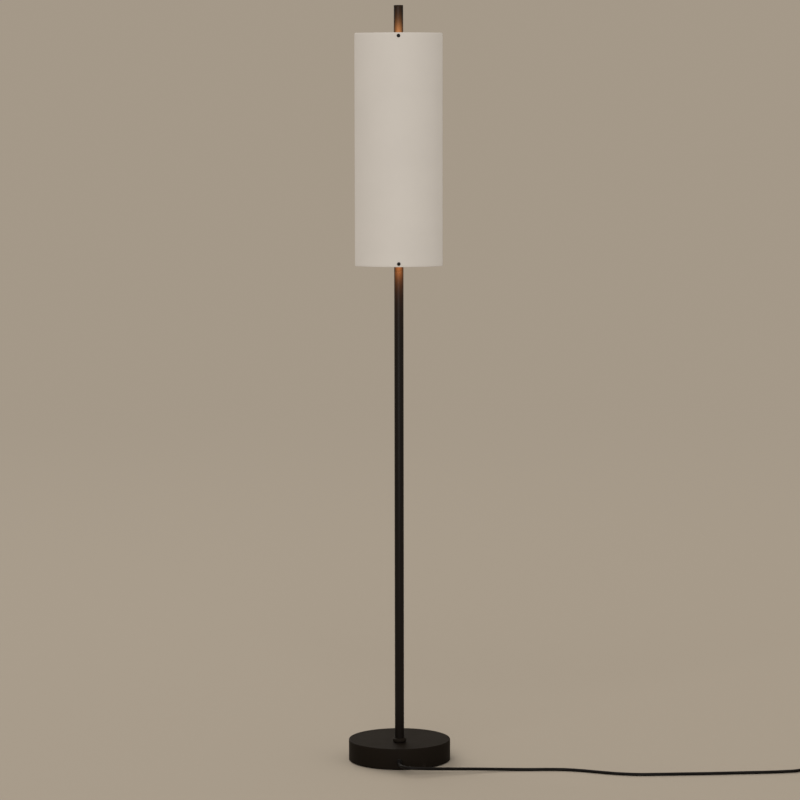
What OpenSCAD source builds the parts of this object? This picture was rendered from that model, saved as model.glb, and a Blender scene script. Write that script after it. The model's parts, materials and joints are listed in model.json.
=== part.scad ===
// Column floor lamp. A heavy round foot carries a slim two-part stem, and the upper part turns in
// the lower one. A strip of lights looks out of a window in the stem's upper part, at the inner face
// of a curved sheet that stands in front of it on two spacers.
// The origin is on the floor under the foot's centre. The sheet faces -Y, and +Z is up.

/* [Foot] */
// Diameter of the foot's cover
base_d = 200; // [190:5:260]
// Height of the foot's top above the floor
base_h = 42; // [40:1:60]
// Sheet thickness of the cover
cover_wall = 2; // [1.5:0.25:3]
// Rounding of the cover's top edge
cover_edge_r = 1.5; // [0.5:0.25:1.5]
// Height of the soft ring that the foot stands on
ring_h = 2; // [1:0.5:3]
// Width of the soft ring
ring_w = 8; // [5:1:10]
// Distance from the cover's outside to the soft ring
ring_inset = 5; // [4:1:8]
// Thickness of the bottom plate
plate_t = 2; // [1.5:0.25:3]
// Thickness of iron left above the cavity in the weight
weight_roof = 8; // [6:1:10]
// Width of the cavity in the weight
cavity_w = 124; // [116:2:130]
// Distance from the foot's centre to the cavity's front wall
cavity_front = 66; // [62:1:68]
// Distance from the foot's centre to the cavity's back wall
cavity_back = 52; // [48:1:56]
// Corner radius of the cavity
cavity_corner_r = 12; // [8:1:16]
// Width of iron between the cavity and the bottom plate's screws
plate_screw_land = 8; // [6:1:12]
// Distance of the bottom plate's screws in front of and behind the foot's centre
plate_screw_y = 30; // [10:1:40]
// Thread diameter of the bottom plate's screws
plate_screw_d = 4; // [3:0.5:5]
// Length of the bottom plate's screws
plate_screw_l = 14; // [10:1:20]

/* [Power supply] */
// Length of the power supply's case
supply_l = 62; // [56:1:66]
// Width of the power supply's case
supply_w = 36; // [30:1:40]
// Height of the power supply's case
supply_h = 20; // [16:1:22]
// Length of the wire chamber at each end of the power supply
supply_end_l = 11; // [9:1:13]
// Height of the wire chambers
supply_end_h = 14; // [13:1:15]
// Distance of the power supply behind the foot's centre
supply_back = 28; // [26:1:30]
// Diameter of the screws that hold the power supply
supply_screw_d = 3; // [2.5:0.5:3.5]

/* [Cord entry] */
// Diameter of the mains cord
cord_d = 6; // [5:0.5:7]
// Height of the cord's entry above the floor
cord_z = 17; // [16:0.5:18]
// Length of the tapered strain relief outside the foot
relief_l = 20; // [20:1:30]
// Diameter of the strain relief where it leaves the foot
relief_d = 9.5; // [9:0.5:11]
// Diameter of the strain relief at its tip
relief_tip_d = 7.4; // [7.2:0.2:8.4]
// Diameter of the strain relief's neck in the cover's wall
relief_neck_d = 9; // [8.2:0.2:9.2]
// Diameter of the strain relief's head inside the foot
relief_head_d = 13; // [11:0.5:14]
// Length of the strain relief's head
relief_head_l = 3; // [2:0.5:4]
// Length of the clamp bar that holds the cord
clamp_l = 36; // [32:1:40]
// Width of the clamp bar
clamp_w = 10; // [8:1:12]
// Thickness of the clamp bar
clamp_t = 4; // [3:0.5:5]
// Spacing of the clamp bar's screws
clamp_pitch = 26; // [22:1:26]
// Diameter of the clamp bar's screws
clamp_screw_d = 3; // [2.5:0.5:3.5]

/* [Stem] */
// Height of the whole lamp
lamp_h = 1478; // [1100:2:1700]
// Distance of the stem in front of the foot's centre
stem_offset = 33; // [30:1:36]
// Outside diameter of the stem
stem_d = 18; // [17:0.5:20]
// Wall thickness of the stem's tubes
stem_wall = 1.5; // [1.2:0.1:1.5]
// Diameter of the collar round the stem's foot
collar_d = 26.5; // [25:0.5:32]
// Height of the collar
collar_h = 9; // [6:0.5:12]
// Depth of the bulge of the collar's side
collar_bulge = 3.4; // [1:0.2:3.4]
// Diameter of the hollow threaded shank that fixes the stem
shank_d = 10; // [9:0.5:12]
// Length of the plug in the stem's lower end
foot_plug_l = 24; // [16:1:40]
// Width across flats of the stem's nut
nut_af = 17; // [16:0.5:19]
// Height of the stem's nut
nut_h = 8; // [6:0.5:8]
// Diameter of the washer under the stem's nut
washer_d = 26; // [24:1:30]
// Thickness of the washer under the stem's nut
washer_t = 2; // [1:0.5:2.5]
// Length of shank that shows past the nut
shank_tail = 2; // [1:0.5:3]
// Thickness of the end cap's top
cap_t = 3; // [2:0.5:8]
// Length of the end cap's plug in the tube
cap_plug_l = 12; // [8:1:16]
// Chamfer of the end cap's edge
cap_chamfer = 0.6; // [0.2:0.1:1]

/* [Swivel] */
// Distance from the sheet's lower edge down to the joint in the stem
seam_drop = 11; // [6:1:40]
// Length of the bearing socket in the lower tube
socket_l = 34; // [24:1:50]
// Diameter of the turning shank
pivot_d = 8; // [7.5:0.25:8.5]
// Depth of the stop chamber in the socket's top
chamber_h = 4; // [3:0.5:6]
// Diameter of the stop chamber
chamber_d = 13; // [12.5:0.25:13]
// Angle that the stop rib takes up
stop_rib_angle = 16; // [10:1:30]
// Diameter of the stop pin
stop_pin_d = 2; // [1.5:0.25:2.25]
// Reach of the stop pin from the stem's axis
stop_pin_reach = 6; // [5.5:0.1:6.1]
// Thickness of the friction washer between the two tubes
friction_t = 0.8; // [0.5:0.1:2]
// Thickness of the spring washer's sheet
spring_washer_t = 0.5; // [0.4:0.1:0.6]
// Rise of the spring washer's cone
spring_washer_rise = 0.5; // [0.3:0.1:0.8]
// Thickness of the retaining ring
clip_t = 0.8; // [0.6:0.1:1.2]
// Outside diameter of the retaining ring
clip_d = 13; // [12:0.5:14]
// Depth of the retaining ring's groove
clip_groove = 0.4; // [0.3:0.1:0.5]
// Opening angle of the retaining ring
clip_open_angle = 70; // [40:5:100]
// Length of shank below the retaining ring
pivot_tail = 3; // [2:0.5:8]
// Diameter of the lead that runs up the stem
lead_d = 4; // [3.5:0.25:4.25]

/* [Light] */
// Width of the stem's window
window_w = 10.4; // [9.8:0.1:10.4]
// Distance from the sheet's ends to the window's ends
window_inset = 26; // [24:1:60]
// Distance of the circuit board's seat in front of the stem's axis
board_seat = 2; // [1.5:0.1:2]
// Width of the circuit board
board_w = 8; // [6:0.2:8]
// Thickness of the circuit board
board_t = 1; // [0.8:0.1:1.2]
// Height of the ribs beside the circuit board
rib_h = 2.6; // [2.4:0.1:2.7]
// Clearance between the circuit board and the ribs
board_gap = 0.3; // [0.1:0.1:0.4]
// Wall thickness of the diffuser's front
diffuser_wall = 1.75; // [1.2:0.05:2]
// Width of the hollow behind the diffuser's front
diffuser_hollow_w = 7.6; // [6:0.2:8]
// Distance that the diffuser's flange runs past the window
flange_over = 3; // [2:0.5:5]
// Distance from one light chip to the next
chip_pitch = 10; // [8:0.5:20]
// Length of a light chip
chip_l = 3.5; // [2:0.1:3.5]
// Width of a light chip
chip_w = 2.8; // [2:0.1:3.5]
// Height of a light chip
chip_h = 0.7; // [0.5:0.1:0.8]
// Length of the heat sink above the upper spacer
sink_head = 20; // [8:1:24]

/* [Sheet] */
// Distance from the lamp's top down to the sheet's upper edge
shade_drop = 53; // [32:1:200]
// Height of the curved sheet
shade_h = 448; // [300:2:470]
// Width of the curved sheet from edge to edge
shade_chord = 170; // [140:1:200]
// Outside radius of the sheet's curve
shade_r = 117; // [110:1:200]
// Thickness of the sheet
shade_t = 1.5; // [1:0.25:2.5]
// Corner radius of the sheet
shade_corner_r = 3; // [1:0.5:4.5]
// Distance from the stem's axis to the sheet's front
shade_front = 36; // [28:1:60]
// Distance from the sheet's ends to its screws
screw_inset = 6; // [5.5:0.5:8]
// Diameter of the spacers
spacer_d = 8; // [7:0.5:9]
// Diameter of the sheet's screws and of the spacers' studs
shade_screw_d = 4; // [3:0.5:4]
// Diameter of the sheet's screw heads
shade_head_d = 7; // [6.5:0.5:8]
// Height of the sheet's screw heads
shade_head_h = 2.2; // [1.6:0.2:3]
// Length of thread in each end of a spacer
spacer_thread_l = 10; // [6:1:12]
// Length of the upper spacer's stud in the heat sink
stud_bite = 6; // [4:0.5:7]

/* [Foot switch] */
// Length of the switch's housing
switch_l = 76; // [70:1:100]
// Width of the switch's housing
switch_w = 36; // [34:1:50]
// Height of the switch's housing
switch_h = 23; // [22:0.5:26]
// Corner radius of the switch's housing
switch_corner_r = 15; // [10:1:16]
// Wall thickness of the switch's housing
switch_wall = 2; // [1.6:0.2:2.2]
// Diameter of the button
button_d = 24; // [18:1:26]
// Height of the button above the housing
button_rise = 4; // [3.5:0.5:6]
// Travel of the button
button_travel = 3; // [2:0.25:3]
// Width of the flange that keeps the button in
button_flange = 1.5; // [1:0.25:2]
// Thickness of the flange that keeps the button in
button_flange_t = 2; // [1.5:0.25:2]
// Clearance round the button
button_gap = 0.25; // [0.15:0.05:0.4]
// Diameter of the boss under the button
boss_d = 6; // [4:0.5:8]
// Length of the contact block
contact_l = 24; // [18:1:28]
// Width of the contact block
contact_w = 16; // [12:1:18]
// Height of the contact block above the floor
contact_top = 12; // [11:0.25:12.5]
// Wire diameter of the return spring
spring_wire_d = 0.8; // [0.6:0.05:0.9]
// Mean diameter of the return spring
spring_d = 10; // [9.5:0.5:14]
// Turns of the return spring
spring_turns = 3; // [2:1:3]
// Diameter of the housing's screws
switch_screw_d = 3; // [2.5:0.5:3]
// Length of the strain reliefs on the switch
switch_relief_l = 20; // [20:1:30]

/* [Plug] */
// Width of the plug's face
plug_w = 35; // [34:0.5:36]
// Thickness of the plug
plug_t = 13.6; // [13:0.2:14]
// Length of the plug's body
plug_l = 34; // [30:1:40]
// Length of the plug's strain relief
plug_relief_l = 20; // [20:1:30]
// Diameter of the plug's pins
plug_pin_d = 4; // [4:0.1:4]
// Length of the plug's pins
plug_pin_l = 19; // [19:0.5:19]
// Spacing of the plug's pins
plug_pin_pitch = 18.6; // [18:0.2:19]
// Length of the sleeves on the plug's pins
plug_sleeve_l = 10; // [8:0.5:11]
// Wall thickness of the sleeves
plug_sleeve_wall = 0.4; // [0.3:0.1:0.6]

/* [Coil] */
// Outer radius of the coil at the cord's axis
coil_r = 44; // [42:0.5:48]
// Distance from turn to turn and from layer to layer
coil_pitch = 6.6; // [6.5:0.1:7]
// Turns in each of the two layers
coil_layer_turns = 2.75; // [1.75:1:2.75]
// Width of the tie round the coil
tie_w = 10; // [6:1:14]
// Thickness of the tie
tie_t = 0.5; // [0.4:0.1:1]

/* [Clearances] */
// Radial clearance of a pressed or glued seat
seat_gap = 0.05; // [0.02:0.01:0.1]
// Radial clearance of a turning fit
running_gap = 0.05; // [0.02:0.01:0.1]
// Radial clearance of a thread that is drawn plain
thread_gap = 0.05; // [0.02:0.01:0.1]
// Radial clearance of a screw in a through hole
screw_gap = 0.2; // [0.1:0.05:0.4]
// Clearance round large parts that drop in
loose_gap = 0.5; // [0.3:0.1:0.8]
// Clearance between the tie and the coil
tie_gap = 0.3; // [0.3:0.1:0.6]

/* [Hidden] */
$fn = 96;

// A cut runs this far past the face that it opens
over = 0.5;
// Facets of small swept wires, of the free cord, and of the coil
wire_sides = 8;
cord_sides = 10;
coil_sides = 6;
coil_rings = 24;
// Facets of shapes that are blended by hull()
blend_fn = 32;
// Facets of the button's shallow dome
dome_fn = 128;
// Share of a tube's first direction that may point up before its rings start from +X
steep_share = 0.9;
// Longest step between two rings of the free cord
ring_step = 18;

// Foot
plate_z = ring_h;
weight_z = plate_z + plate_t;
weight_top = base_h - cover_wall;
cavity_top = weight_top - weight_roof;
cover_inner_r = base_d / 2 - cover_wall;
weight_r = cover_inner_r - loose_gap;
channel_w = relief_head_d + 2 * loose_gap;
clamp_y = -(cavity_front + weight_r) / 2;
clamp_top = cord_z - cord_d / 2;
clamp_screw_bite = 8;
plate_head_d = 2 * plate_screw_d;
plate_head_h = plate_screw_d / 2;
recess_share = 0.6;

// Power supply
supply_lug_l = 7;
supply_lug_t = 2.5;
supply_corner_r = 3;
supply_lid_t = 1.2;
supply_lid_inset = 1.5;
supply_screw_x = supply_l / 2 + supply_end_l + supply_lug_l / 2;
supply_head_d = 5.5;
supply_head_h = 2;

// Stem
stem_in_d = stem_d - 2 * stem_wall;
plug_d = stem_in_d - 2 * seat_gap;
lead_play = 0.6;
lead_hole_d = lead_d + lead_play;
nut_z = cavity_top - washer_t - nut_h;
shade_top = lamp_h - shade_drop;
shade_z = shade_top - shade_h;
seam_z = shade_z - seam_drop;
upper_stem_z = seam_z + friction_t;
upper_stem_top = lamp_h - cap_t;
low_screw_z = shade_z + screw_inset;
high_screw_z = shade_top - screw_inset;

// Swivel
socket_z = seam_z - socket_l;
clip_z = socket_z - spring_washer_t - spring_washer_rise - clip_t;
pivot_z = clip_z - pivot_tail;
stop_pin_z = seam_z - chamber_h / 2;
spigot_head = 10;
spigot_top = low_screw_z + spigot_head;
stud_hole_depth = 4.5;

// Light
window_z = shade_z + window_inset;
window_l = shade_h - 2 * window_inset;
sink_z = window_z - flange_over;
sink_top = high_screw_z + sink_head;
sink_r = stem_in_d / 2 - 2 * seat_gap;
board_inset = 1;
board_z = sink_z + board_inset;
board_l = window_l + 2 * flange_over - 2 * board_inset;
diffuser_back = board_seat + rib_h;
diffuser_gap = 0.15;
first_chip_z = window_z + chip_l;
chips_n = floor((window_l - 2 * chip_l) / chip_pitch) + 1;

// Sheet
shade_centre_y = shade_r - shade_front;
shade_half_angle = asin(shade_chord / 2 / shade_r);
stud_root_l = 1;
screw_hex_af = 2.5;
screw_hex_depth = 1.4;

// Cord
relief_collar_rim = 0.75;
relief_collar_d = relief_d + 2 * relief_collar_rim;
relief_collar_l = 1.5;
// The head's flat face stops just before its rim meets the round wall
relief_seat_y = sqrt(cover_inner_r * cover_inner_r - relief_head_d * relief_head_d / 4) - seat_gap / 2;
inner_cord_out = 6;
inner_cord_end = inner_cord_out - cavity_front;
mains_wire_d = 2.4;
mains_wire_side = 1.5;
wire_straight_l = 4;
board_wire_d = 1.1;
// Cores from the lead to the board: their distance from the middle at each end, the first stretch's
// place, the bend's share of the way forward, the straight stretches, and the stretch on the board
core_side = 0.9;
core_end_side = 1.5;
core_start_y = -0.4;
core_bend_share = 0.6;
core_straight_l = 1;
core_pad_l = 3;

// Routes inside the foot, chosen by hand: the cord's cores, and the lead to the stem
mains_entry_z = 11;
mains_points = [
  [-6, -50, 16.6], [-18, -43, 15.6], [-34, -31, 14], [-47, -14, 12], [-54, 2, 11],
  [-56, 14, 11], [-53, 25, 11]
];
lead_points = [
  [52, 25, 11], [56, 15, 10.5], [52, 0, 9.5], [38, -18, 8.5], [22, -29, 7.5]
];
// The lead's bend up into the stem: distance beside the stem's axis, and height about its straight end
lead_bend = [[8.8, -11], [2.4, -8], [0, -3], [0, 4]];
lead_end_gap = 1;
// Route of the cord from the foot's strain relief to the switch's, chosen by hand
run_points = [
  [0, -120, 17], [0, -125, 17], [4, -136, 16.4], [14, -145, 15.6], [28, -147.5, 14.8],
  [44, -144.5, 13.6], [62, -139, 12], [90, -130, 9.8], [120, -123, 8], [158, -114, 5.8],
  [196, -108, 4], [228, -106, 3.2], [260, -106, 3], [290, -105, 3], [320, -107, 3],
  [350, -115, 3], [382, -128, 3], [418, -142, 3], [458, -150, 3], [504, -149, 3],
  [550, -146, 3], [598, -143, 3], [660, -137, 3], [720, -131, 3], [758, -124, 3],
  [776, -119, 3.8], [790, -114.5, 6], [801, -112.4, 8.2], [807, -112, 9], [812, -112, 9]
];
run_end = run_points[len(run_points) - 1];
// Foot switch: its axis runs along +X from the end of that route, and its halves meet at the cord
switch_axis = [run_end.x, run_end.y];
switch_cord_z = run_end.z;
switch_split = switch_cord_z;
// Rounding of its top edge: depth below the top, and how far the outline is drawn in there
switch_crown_steps = [[4, 0], [1.8, 0.6], [0.6, 2], [0, 4]];
switch_slice = 0.2;
switch_x = switch_relief_l + switch_l / 2;
switch_out_x = 2 * switch_relief_l + switch_l;
switch_relief_head_d = 11;
switch_relief_head_l = 2;
switch_relief_neck_d = 8;
switch_relief_slack = 0.3;
switch_relief_d = 9.5;
switch_post_d = 7;
switch_post_inset = [12, 7.5];
switch_post_x = switch_l / 2 - switch_post_inset.x;
switch_post_y = switch_w / 2 - switch_post_inset.y;
switch_head_d = 5.5;
switch_head_h = 2;
switch_foot_recess = 0.5;
switch_screw_bite = 7;
button_top = switch_h + button_rise;
button_ceiling = switch_h - switch_wall;
button_crown = 0.8;
button_edge_r = 1.2;
boss_gap = 0.3;
boss_bottom = contact_top + button_travel + boss_gap;
contact_corner_r = 1.5;
terminal_d = 3.4;
terminal_inset = 3.5;
terminal_depth = 2;
switch_wire_d = 2.2;
switch_wire_y = 2;

// Coil: its centre, and the height of its lower layer's axis
coil_centre = [992, switch_axis.y + coil_r];
coil_z = tie_t + tie_gap + cord_d / 2;
coil_turns = 2 * coil_layer_turns + 0.5;
coil_inner_r = coil_r - coil_pitch * coil_layer_turns;
// Route from the switch to the coil, after its start at the switch
switch_tail_points = [[944, -112, 8.1], [956, -112, 6.1], [968, -112, 4.4]];
// Route from the coil to the plug
plug_tail_points = [
  [1015, -110.5, 10], [1025, -107, 9.4], [1034, -102, 8.6], [1043, -94, 7.6],
  [1051, -83, 7], [1054, -70, 6.8]
];
plug_start = [1055, -58];

// Plug
plug_axis_z = plug_t / 2;
plug_rear_w = 12;
plug_rear_t = 9;
plug_shoulder = 14;
plug_edge_r = 2.5;
plug_slice = 0.5;
plug_grip_r = 26;
plug_grip_depth = 1.6;
plug_grip_back = plug_l / 3;
plug_face_flare = 3;
plug_relief_d = 8.6;

// A rectangle with round corners, centred
module rounded_rect(size, r) {
  square([size.x - 2 * r, size.y], center = true);
  square([size.x, size.y - 2 * r], center = true);
  for (x = [-1, 1], y = [-1, 1])
    translate([x * (size.x / 2 - r), y * (size.y / 2 - r)])
      circle(r = r);
}

// Moves to the stem's axis
module at_stem() {
  translate([0, -stem_offset, 0])
    children();
}

// Moves to the switch's start on the floor, with the cord's direction along +X
module at_switch() {
  translate([switch_axis.x, switch_axis.y, 0])
    children();
}

// Moves to the plug's start on the floor, with the cord's direction along +Y
module at_plug() {
  translate([plug_start.x, plug_start.y, 0])
    children();
}

// A cylinder along +Y from the point
module bar_y(d, l) {
  rotate([-90, 0, 0])
    cylinder(d = d, h = l);
}

// A cylinder along +X from the point
module bar_x(d, l) {
  rotate([0, 90, 0])
    cylinder(d = d, h = l);
}

function unit(v) = v / norm(v);

// A vector turned square to a direction
function squared(v, direction) = unit(v - (v * direction) * direction);

// A point between b and c on a smooth curve through a, b, c and d
function curve_point(a, b, c, d, t) =
  0.5 * (2 * b + (c - a) * t + (2 * a - 5 * b + 4 * c - d) * t * t
  + (3 * b - a - 3 * c + d) * t * t * t);

// Points along a smooth curve through the given ones, at most step apart and none below the floor
function smooth_route(points, step, floor_z) =
  let (last = len(points) - 1)
  concat(
    [
      for (i = [0 : last - 1])
        let (
          a = points[max(i - 1, 0)],
          b = points[i],
          c = points[i + 1],
          d = points[min(i + 2, last)],
          steps = ceil(norm(c - b) / step)
        )
        for (k = [0 : steps - 1])
          let (p = curve_point(a, b, c, d, k / steps))
          [p.x, p.y, max(p.z, floor_z)]
    ],
    [points[last]]
  );

// Directions of a tube's rings: the neighbours' chord, and the first and last stretch at its ends
function ring_directions(points) =
  let (last = len(points) - 1)
  [
    for (i = [0 : last])
      i == 0 ? unit(points[1] - points[0])
      : i == last ? unit(points[last] - points[last - 1])
      : unit(unit(points[i + 1] - points[i]) + unit(points[i] - points[i - 1]))
  ];

// The points moved sideways in plan, to the left of their direction
function beside(points, distance) =
  let (ways = ring_directions(points))
  [for (i = [0 : len(points) - 1]) points[i] + distance * unit([-ways[i].y, ways[i].x, 0])];

// A closed tube with flat ends along the points, its rings carried on without twist
module tube_along(points, d, sides) {
  last = len(points) - 1;
  ways = ring_directions(points);
  start = abs(ways[0].z) > steep_share ? [1, 0, 0] : [0, 0, 1];
  normals = [
    for (i = 0, n = squared(start, ways[0]); i <= last; i = i + 1, n = squared(n, ways[min(i, last)]))
      n
  ];
  rings = [
    for (i = [0 : last], k = [0 : sides - 1])
      points[i] + d / 2 * (cos(360 * k / sides) * normals[i]
      + sin(360 * k / sides) * cross(ways[i], normals[i]))
  ];
  walls = [
    for (i = [0 : last - 1], k = [0 : sides - 1])
      let (
        a = i * sides + k,
        b = i * sides + (k + 1) % sides,
        c = a + sides,
        e = b + sides
      )
      each [[a, c, b], [b, c, e]]
  ];
  ends = [
    for (k = [1 : sides - 2])
      each [[0, k, k + 1], [last * sides, last * sides + k + 1, last * sides + k]]
  ];
  polyhedron(points = rings, faces = concat(walls, ends), convexity = 10);
}

// Foot --------------------------------------------------------------------------------------

// Outline of the cover's wall and top, from its axis outwards
module cover_outline() {
  difference() {
    union() {
      translate([0, plate_z])
        square([base_d / 2 - cover_edge_r, base_h - plate_z]);
      translate([0, plate_z])
        square([base_d / 2, base_h - plate_z - cover_edge_r]);
      translate([base_d / 2 - cover_edge_r, base_h - cover_edge_r])
        circle(r = cover_edge_r);
    }
    translate([-over, plate_z - over])
      square([cover_inner_r + over, weight_top - plate_z + over]);
  }
}

// Pressed steel cover, open below
module base_cover() {
  color([0.1, 0.09, 0.08])
    difference() {
      rotate_extrude()
        cover_outline();
      at_stem()
        translate([0, 0, weight_top - over])
          cylinder(d = shank_d + 2 * screw_gap, h = cover_wall + 2 * over);
      translate([0, -base_d / 2 - over, cord_z])
        bar_y(relief_neck_d + 2 * seat_gap, cover_wall + 2 * over);
    }
}

// Places of the bottom plate's screws, in the iron beside the cavity
module at_plate_screws() {
  for (x = [-1, 1], y = [-1, 1])
    translate([x * (cavity_w / 2 + plate_screw_land), y * plate_screw_y, 0])
      children();
}

// Cast iron weight with a cavity for the power supply and a channel for the cord
module base_weight() {
  color([0.3, 0.3, 0.31])
    difference() {
      translate([0, 0, weight_z])
        cylinder(r = weight_r, h = weight_top - weight_z);
      // Cavity, open below
      translate([0, (cavity_back - cavity_front) / 2, weight_z - over])
        linear_extrude(cavity_top - weight_z + over)
          rounded_rect([cavity_w, cavity_back + cavity_front], cavity_corner_r);
      // Hole for the stem's shank
      at_stem()
        translate([0, 0, cavity_top - over])
          cylinder(d = shank_d + 2 * screw_gap, h = weight_roof + 2 * over);
      // Space for the strain relief's head, and the cord's channel behind it
      translate([-channel_w / 2, -base_d / 2, weight_z - over])
        cube([channel_w, base_d / 2 - relief_seat_y + relief_head_l + loose_gap,
          cord_z + channel_w / 2 - weight_z + over]);
      translate([-cord_d / 2 - loose_gap, -base_d / 2, weight_z - over])
        cube([cord_d + 2 * loose_gap, base_d / 2 - cavity_front + over,
          cord_z + cord_d / 2 - weight_z + over + seat_gap]);
      // Pocket for the clamp bar, with its threads
      translate([-clamp_l / 2 - loose_gap, clamp_y - clamp_w / 2 - loose_gap, weight_z - over])
        cube([clamp_l + 2 * loose_gap, clamp_w + 2 * loose_gap, clamp_top - weight_z + over]);
      for (x = [-1, 1])
        translate([x * clamp_pitch / 2, clamp_y, clamp_top - over])
          cylinder(d = clamp_screw_d + 2 * thread_gap, h = clamp_screw_bite + loose_gap + over);
      // Threads for the bottom plate's screws
      at_plate_screws()
        translate([0, 0, weight_z - over])
          cylinder(d = plate_screw_d + 2 * thread_gap, h = plate_screw_l - plate_t + loose_gap + over);
    }
}

// Steel disc that closes the foot from below
module bottom_plate() {
  color([0.16, 0.16, 0.17])
    difference() {
      translate([0, 0, plate_z])
        cylinder(r = weight_r, h = plate_t);
      at_plate_screws()
        translate([0, 0, plate_z])
          countersunk(plate_screw_d + 2 * screw_gap, plate_head_d + 2 * screw_gap, over, plate_t + over);
      for (x = [-1, 1])
        translate([x * supply_screw_x, supply_back, plate_z - over])
          cylinder(d = supply_screw_d + 2 * thread_gap, h = plate_t + 2 * over);
    }
}

// Soft ring under the plate
module foot_ring() {
  ring_r = base_d / 2 - ring_inset;
  color([0.12, 0.12, 0.12])
    difference() {
      cylinder(r = ring_r, h = ring_h);
      translate([0, 0, -over])
        cylinder(r = ring_r - ring_w, h = ring_h + 2 * over);
    }
}

// A shank with a cone below it that widens downwards to the head's diameter
module countersunk(d, head_d, extra, l) {
  translate([0, 0, -extra])
    cylinder(d = head_d, h = extra);
  cylinder(d1 = head_d, d2 = d, h = (head_d - d) / 2);
  cylinder(d = d, h = l);
}

// Countersunk screws, driven from below
module plate_screws() {
  color([0.7, 0.7, 0.72])
    at_plate_screws()
      difference() {
        translate([0, 0, plate_z])
          countersunk(plate_screw_d, plate_head_d, 0, plate_screw_l);
        translate([0, 0, plate_z - over])
          cylinder(d = plate_screw_d * recess_share, h = plate_head_h * recess_share + over, $fn = 6);
      }
}

// Power supply on the bottom plate: a case with a lid step, and lower wire chambers with lugs
module power_supply() {
  end_span = supply_l + 2 * supply_end_l;
  color([0.85, 0.85, 0.83])
    translate([0, supply_back, weight_z])
      difference() {
        union() {
          linear_extrude(supply_h - supply_lid_t)
            rounded_rect([supply_l, supply_w], supply_corner_r);
          linear_extrude(supply_h)
            rounded_rect([supply_l - 2 * supply_lid_inset, supply_w - 2 * supply_lid_inset],
              supply_corner_r);
          linear_extrude(supply_end_h)
            rounded_rect([end_span, supply_w - 2 * supply_lid_inset], supply_corner_r);
          linear_extrude(supply_lug_t)
            rounded_rect([end_span + 2 * supply_lug_l, supply_head_d + 2 * supply_lug_t],
              supply_corner_r);
        }
        for (x = [-1, 1])
          translate([x * supply_screw_x, 0, -over])
            cylinder(d = supply_screw_d + 2 * screw_gap, h = supply_lug_t + 2 * over);
      }
}

// Pan-head screws through the power supply's lugs into the plate
module supply_screws() {
  color([0.75, 0.75, 0.76])
    for (x = [-1, 1])
      translate([x * supply_screw_x, supply_back, plate_z]) {
        cylinder(d = supply_screw_d, h = plate_t + supply_lug_t + over);
        translate([0, 0, plate_t + supply_lug_t])
          cylinder(d = supply_head_d, h = supply_head_h);
      }
}

// Bar that holds the cord up against the channel's roof
module cord_clamp() {
  color([0.75, 0.74, 0.7])
    difference() {
      translate([-clamp_l / 2, clamp_y - clamp_w / 2, clamp_top - clamp_t])
        cube([clamp_l, clamp_w, clamp_t]);
      for (x = [-1, 1])
        translate([x * clamp_pitch / 2, clamp_y, clamp_top - clamp_t - over])
          cylinder(d = clamp_screw_d + 2 * screw_gap, h = clamp_t + 2 * over);
    }
}

// Screws of the clamp bar, driven from below
module clamp_screws() {
  head_h = 2;
  color([0.7, 0.7, 0.72])
    for (x = [-1, 1])
      translate([x * clamp_pitch / 2, clamp_y, clamp_top - clamp_t]) {
        cylinder(d = clamp_screw_d, h = clamp_t + clamp_screw_bite);
        translate([0, 0, -head_h])
          cylinder(d = 2 * clamp_screw_d, h = head_h);
      }
}

// Strain relief moulded on the cord: head, neck in the wall, collar and tapered tail
module cord_relief() {
  tail_l = relief_l - relief_collar_l;
  color([0.06, 0.06, 0.06])
    translate([0, -base_d / 2, cord_z])
      rotate([90, 0, 0]) {
        translate([0, 0, relief_seat_y - relief_head_l - base_d / 2])
          cylinder(d = relief_head_d, h = relief_head_l);
        translate([0, 0, relief_seat_y - over - base_d / 2])
          cylinder(d = relief_neck_d, h = base_d / 2 - relief_seat_y + 2 * over);
        cylinder(d = relief_collar_d, h = relief_collar_l);
        translate([0, 0, relief_collar_l])
          cylinder(d1 = relief_d, d2 = relief_tip_d, h = tail_l);
      }
}

// The cord's sheathed end inside the foot
module inner_cord() {
  start_y = relief_head_l - relief_seat_y;
  color([0.06, 0.06, 0.06])
    translate([0, start_y, cord_z])
      bar_y(cord_d, inner_cord_end - start_y);
}

// The cord's two cores, from the sheath's end round the stem's nut to the power supply
module mains_wires() {
  entry = [-supply_l / 2 - supply_end_l - seat_gap, supply_back, mains_entry_z];
  start = [0, inner_cord_end + seat_gap, cord_z];
  route = smooth_route(
    concat([start, start + [0, wire_straight_l, 0]], mains_points,
      [entry - [wire_straight_l, 0, 0], entry]),
    ring_step / 2, 0);
  color([0.35, 0.2, 0.12])
    tube_along(beside(route, -mains_wire_side), mains_wire_d, wire_sides);
  color([0.15, 0.25, 0.55])
    tube_along(beside(route, mains_wire_side), mains_wire_d, wire_sides);
}

// Stem --------------------------------------------------------------------------------------

// Collar round the stem's foot: a ring with a bulging side, standing on the cover
module foot_collar() {
  land_r = collar_d / 2 - collar_bulge;
  color([0.09, 0.085, 0.08])
    at_stem()
      translate([0, 0, base_h])
        difference() {
          rotate_extrude()
            union() {
              square([land_r, collar_h]);
              translate([land_r, collar_h / 2])
                scale([2 * collar_bulge / collar_h, 1])
                  circle(d = collar_h, $fn = blend_fn);
            }
          translate([0, 0, -over])
            cylinder(d = stem_d + 2 * seat_gap, h = collar_h + 2 * over);
        }
}

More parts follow.
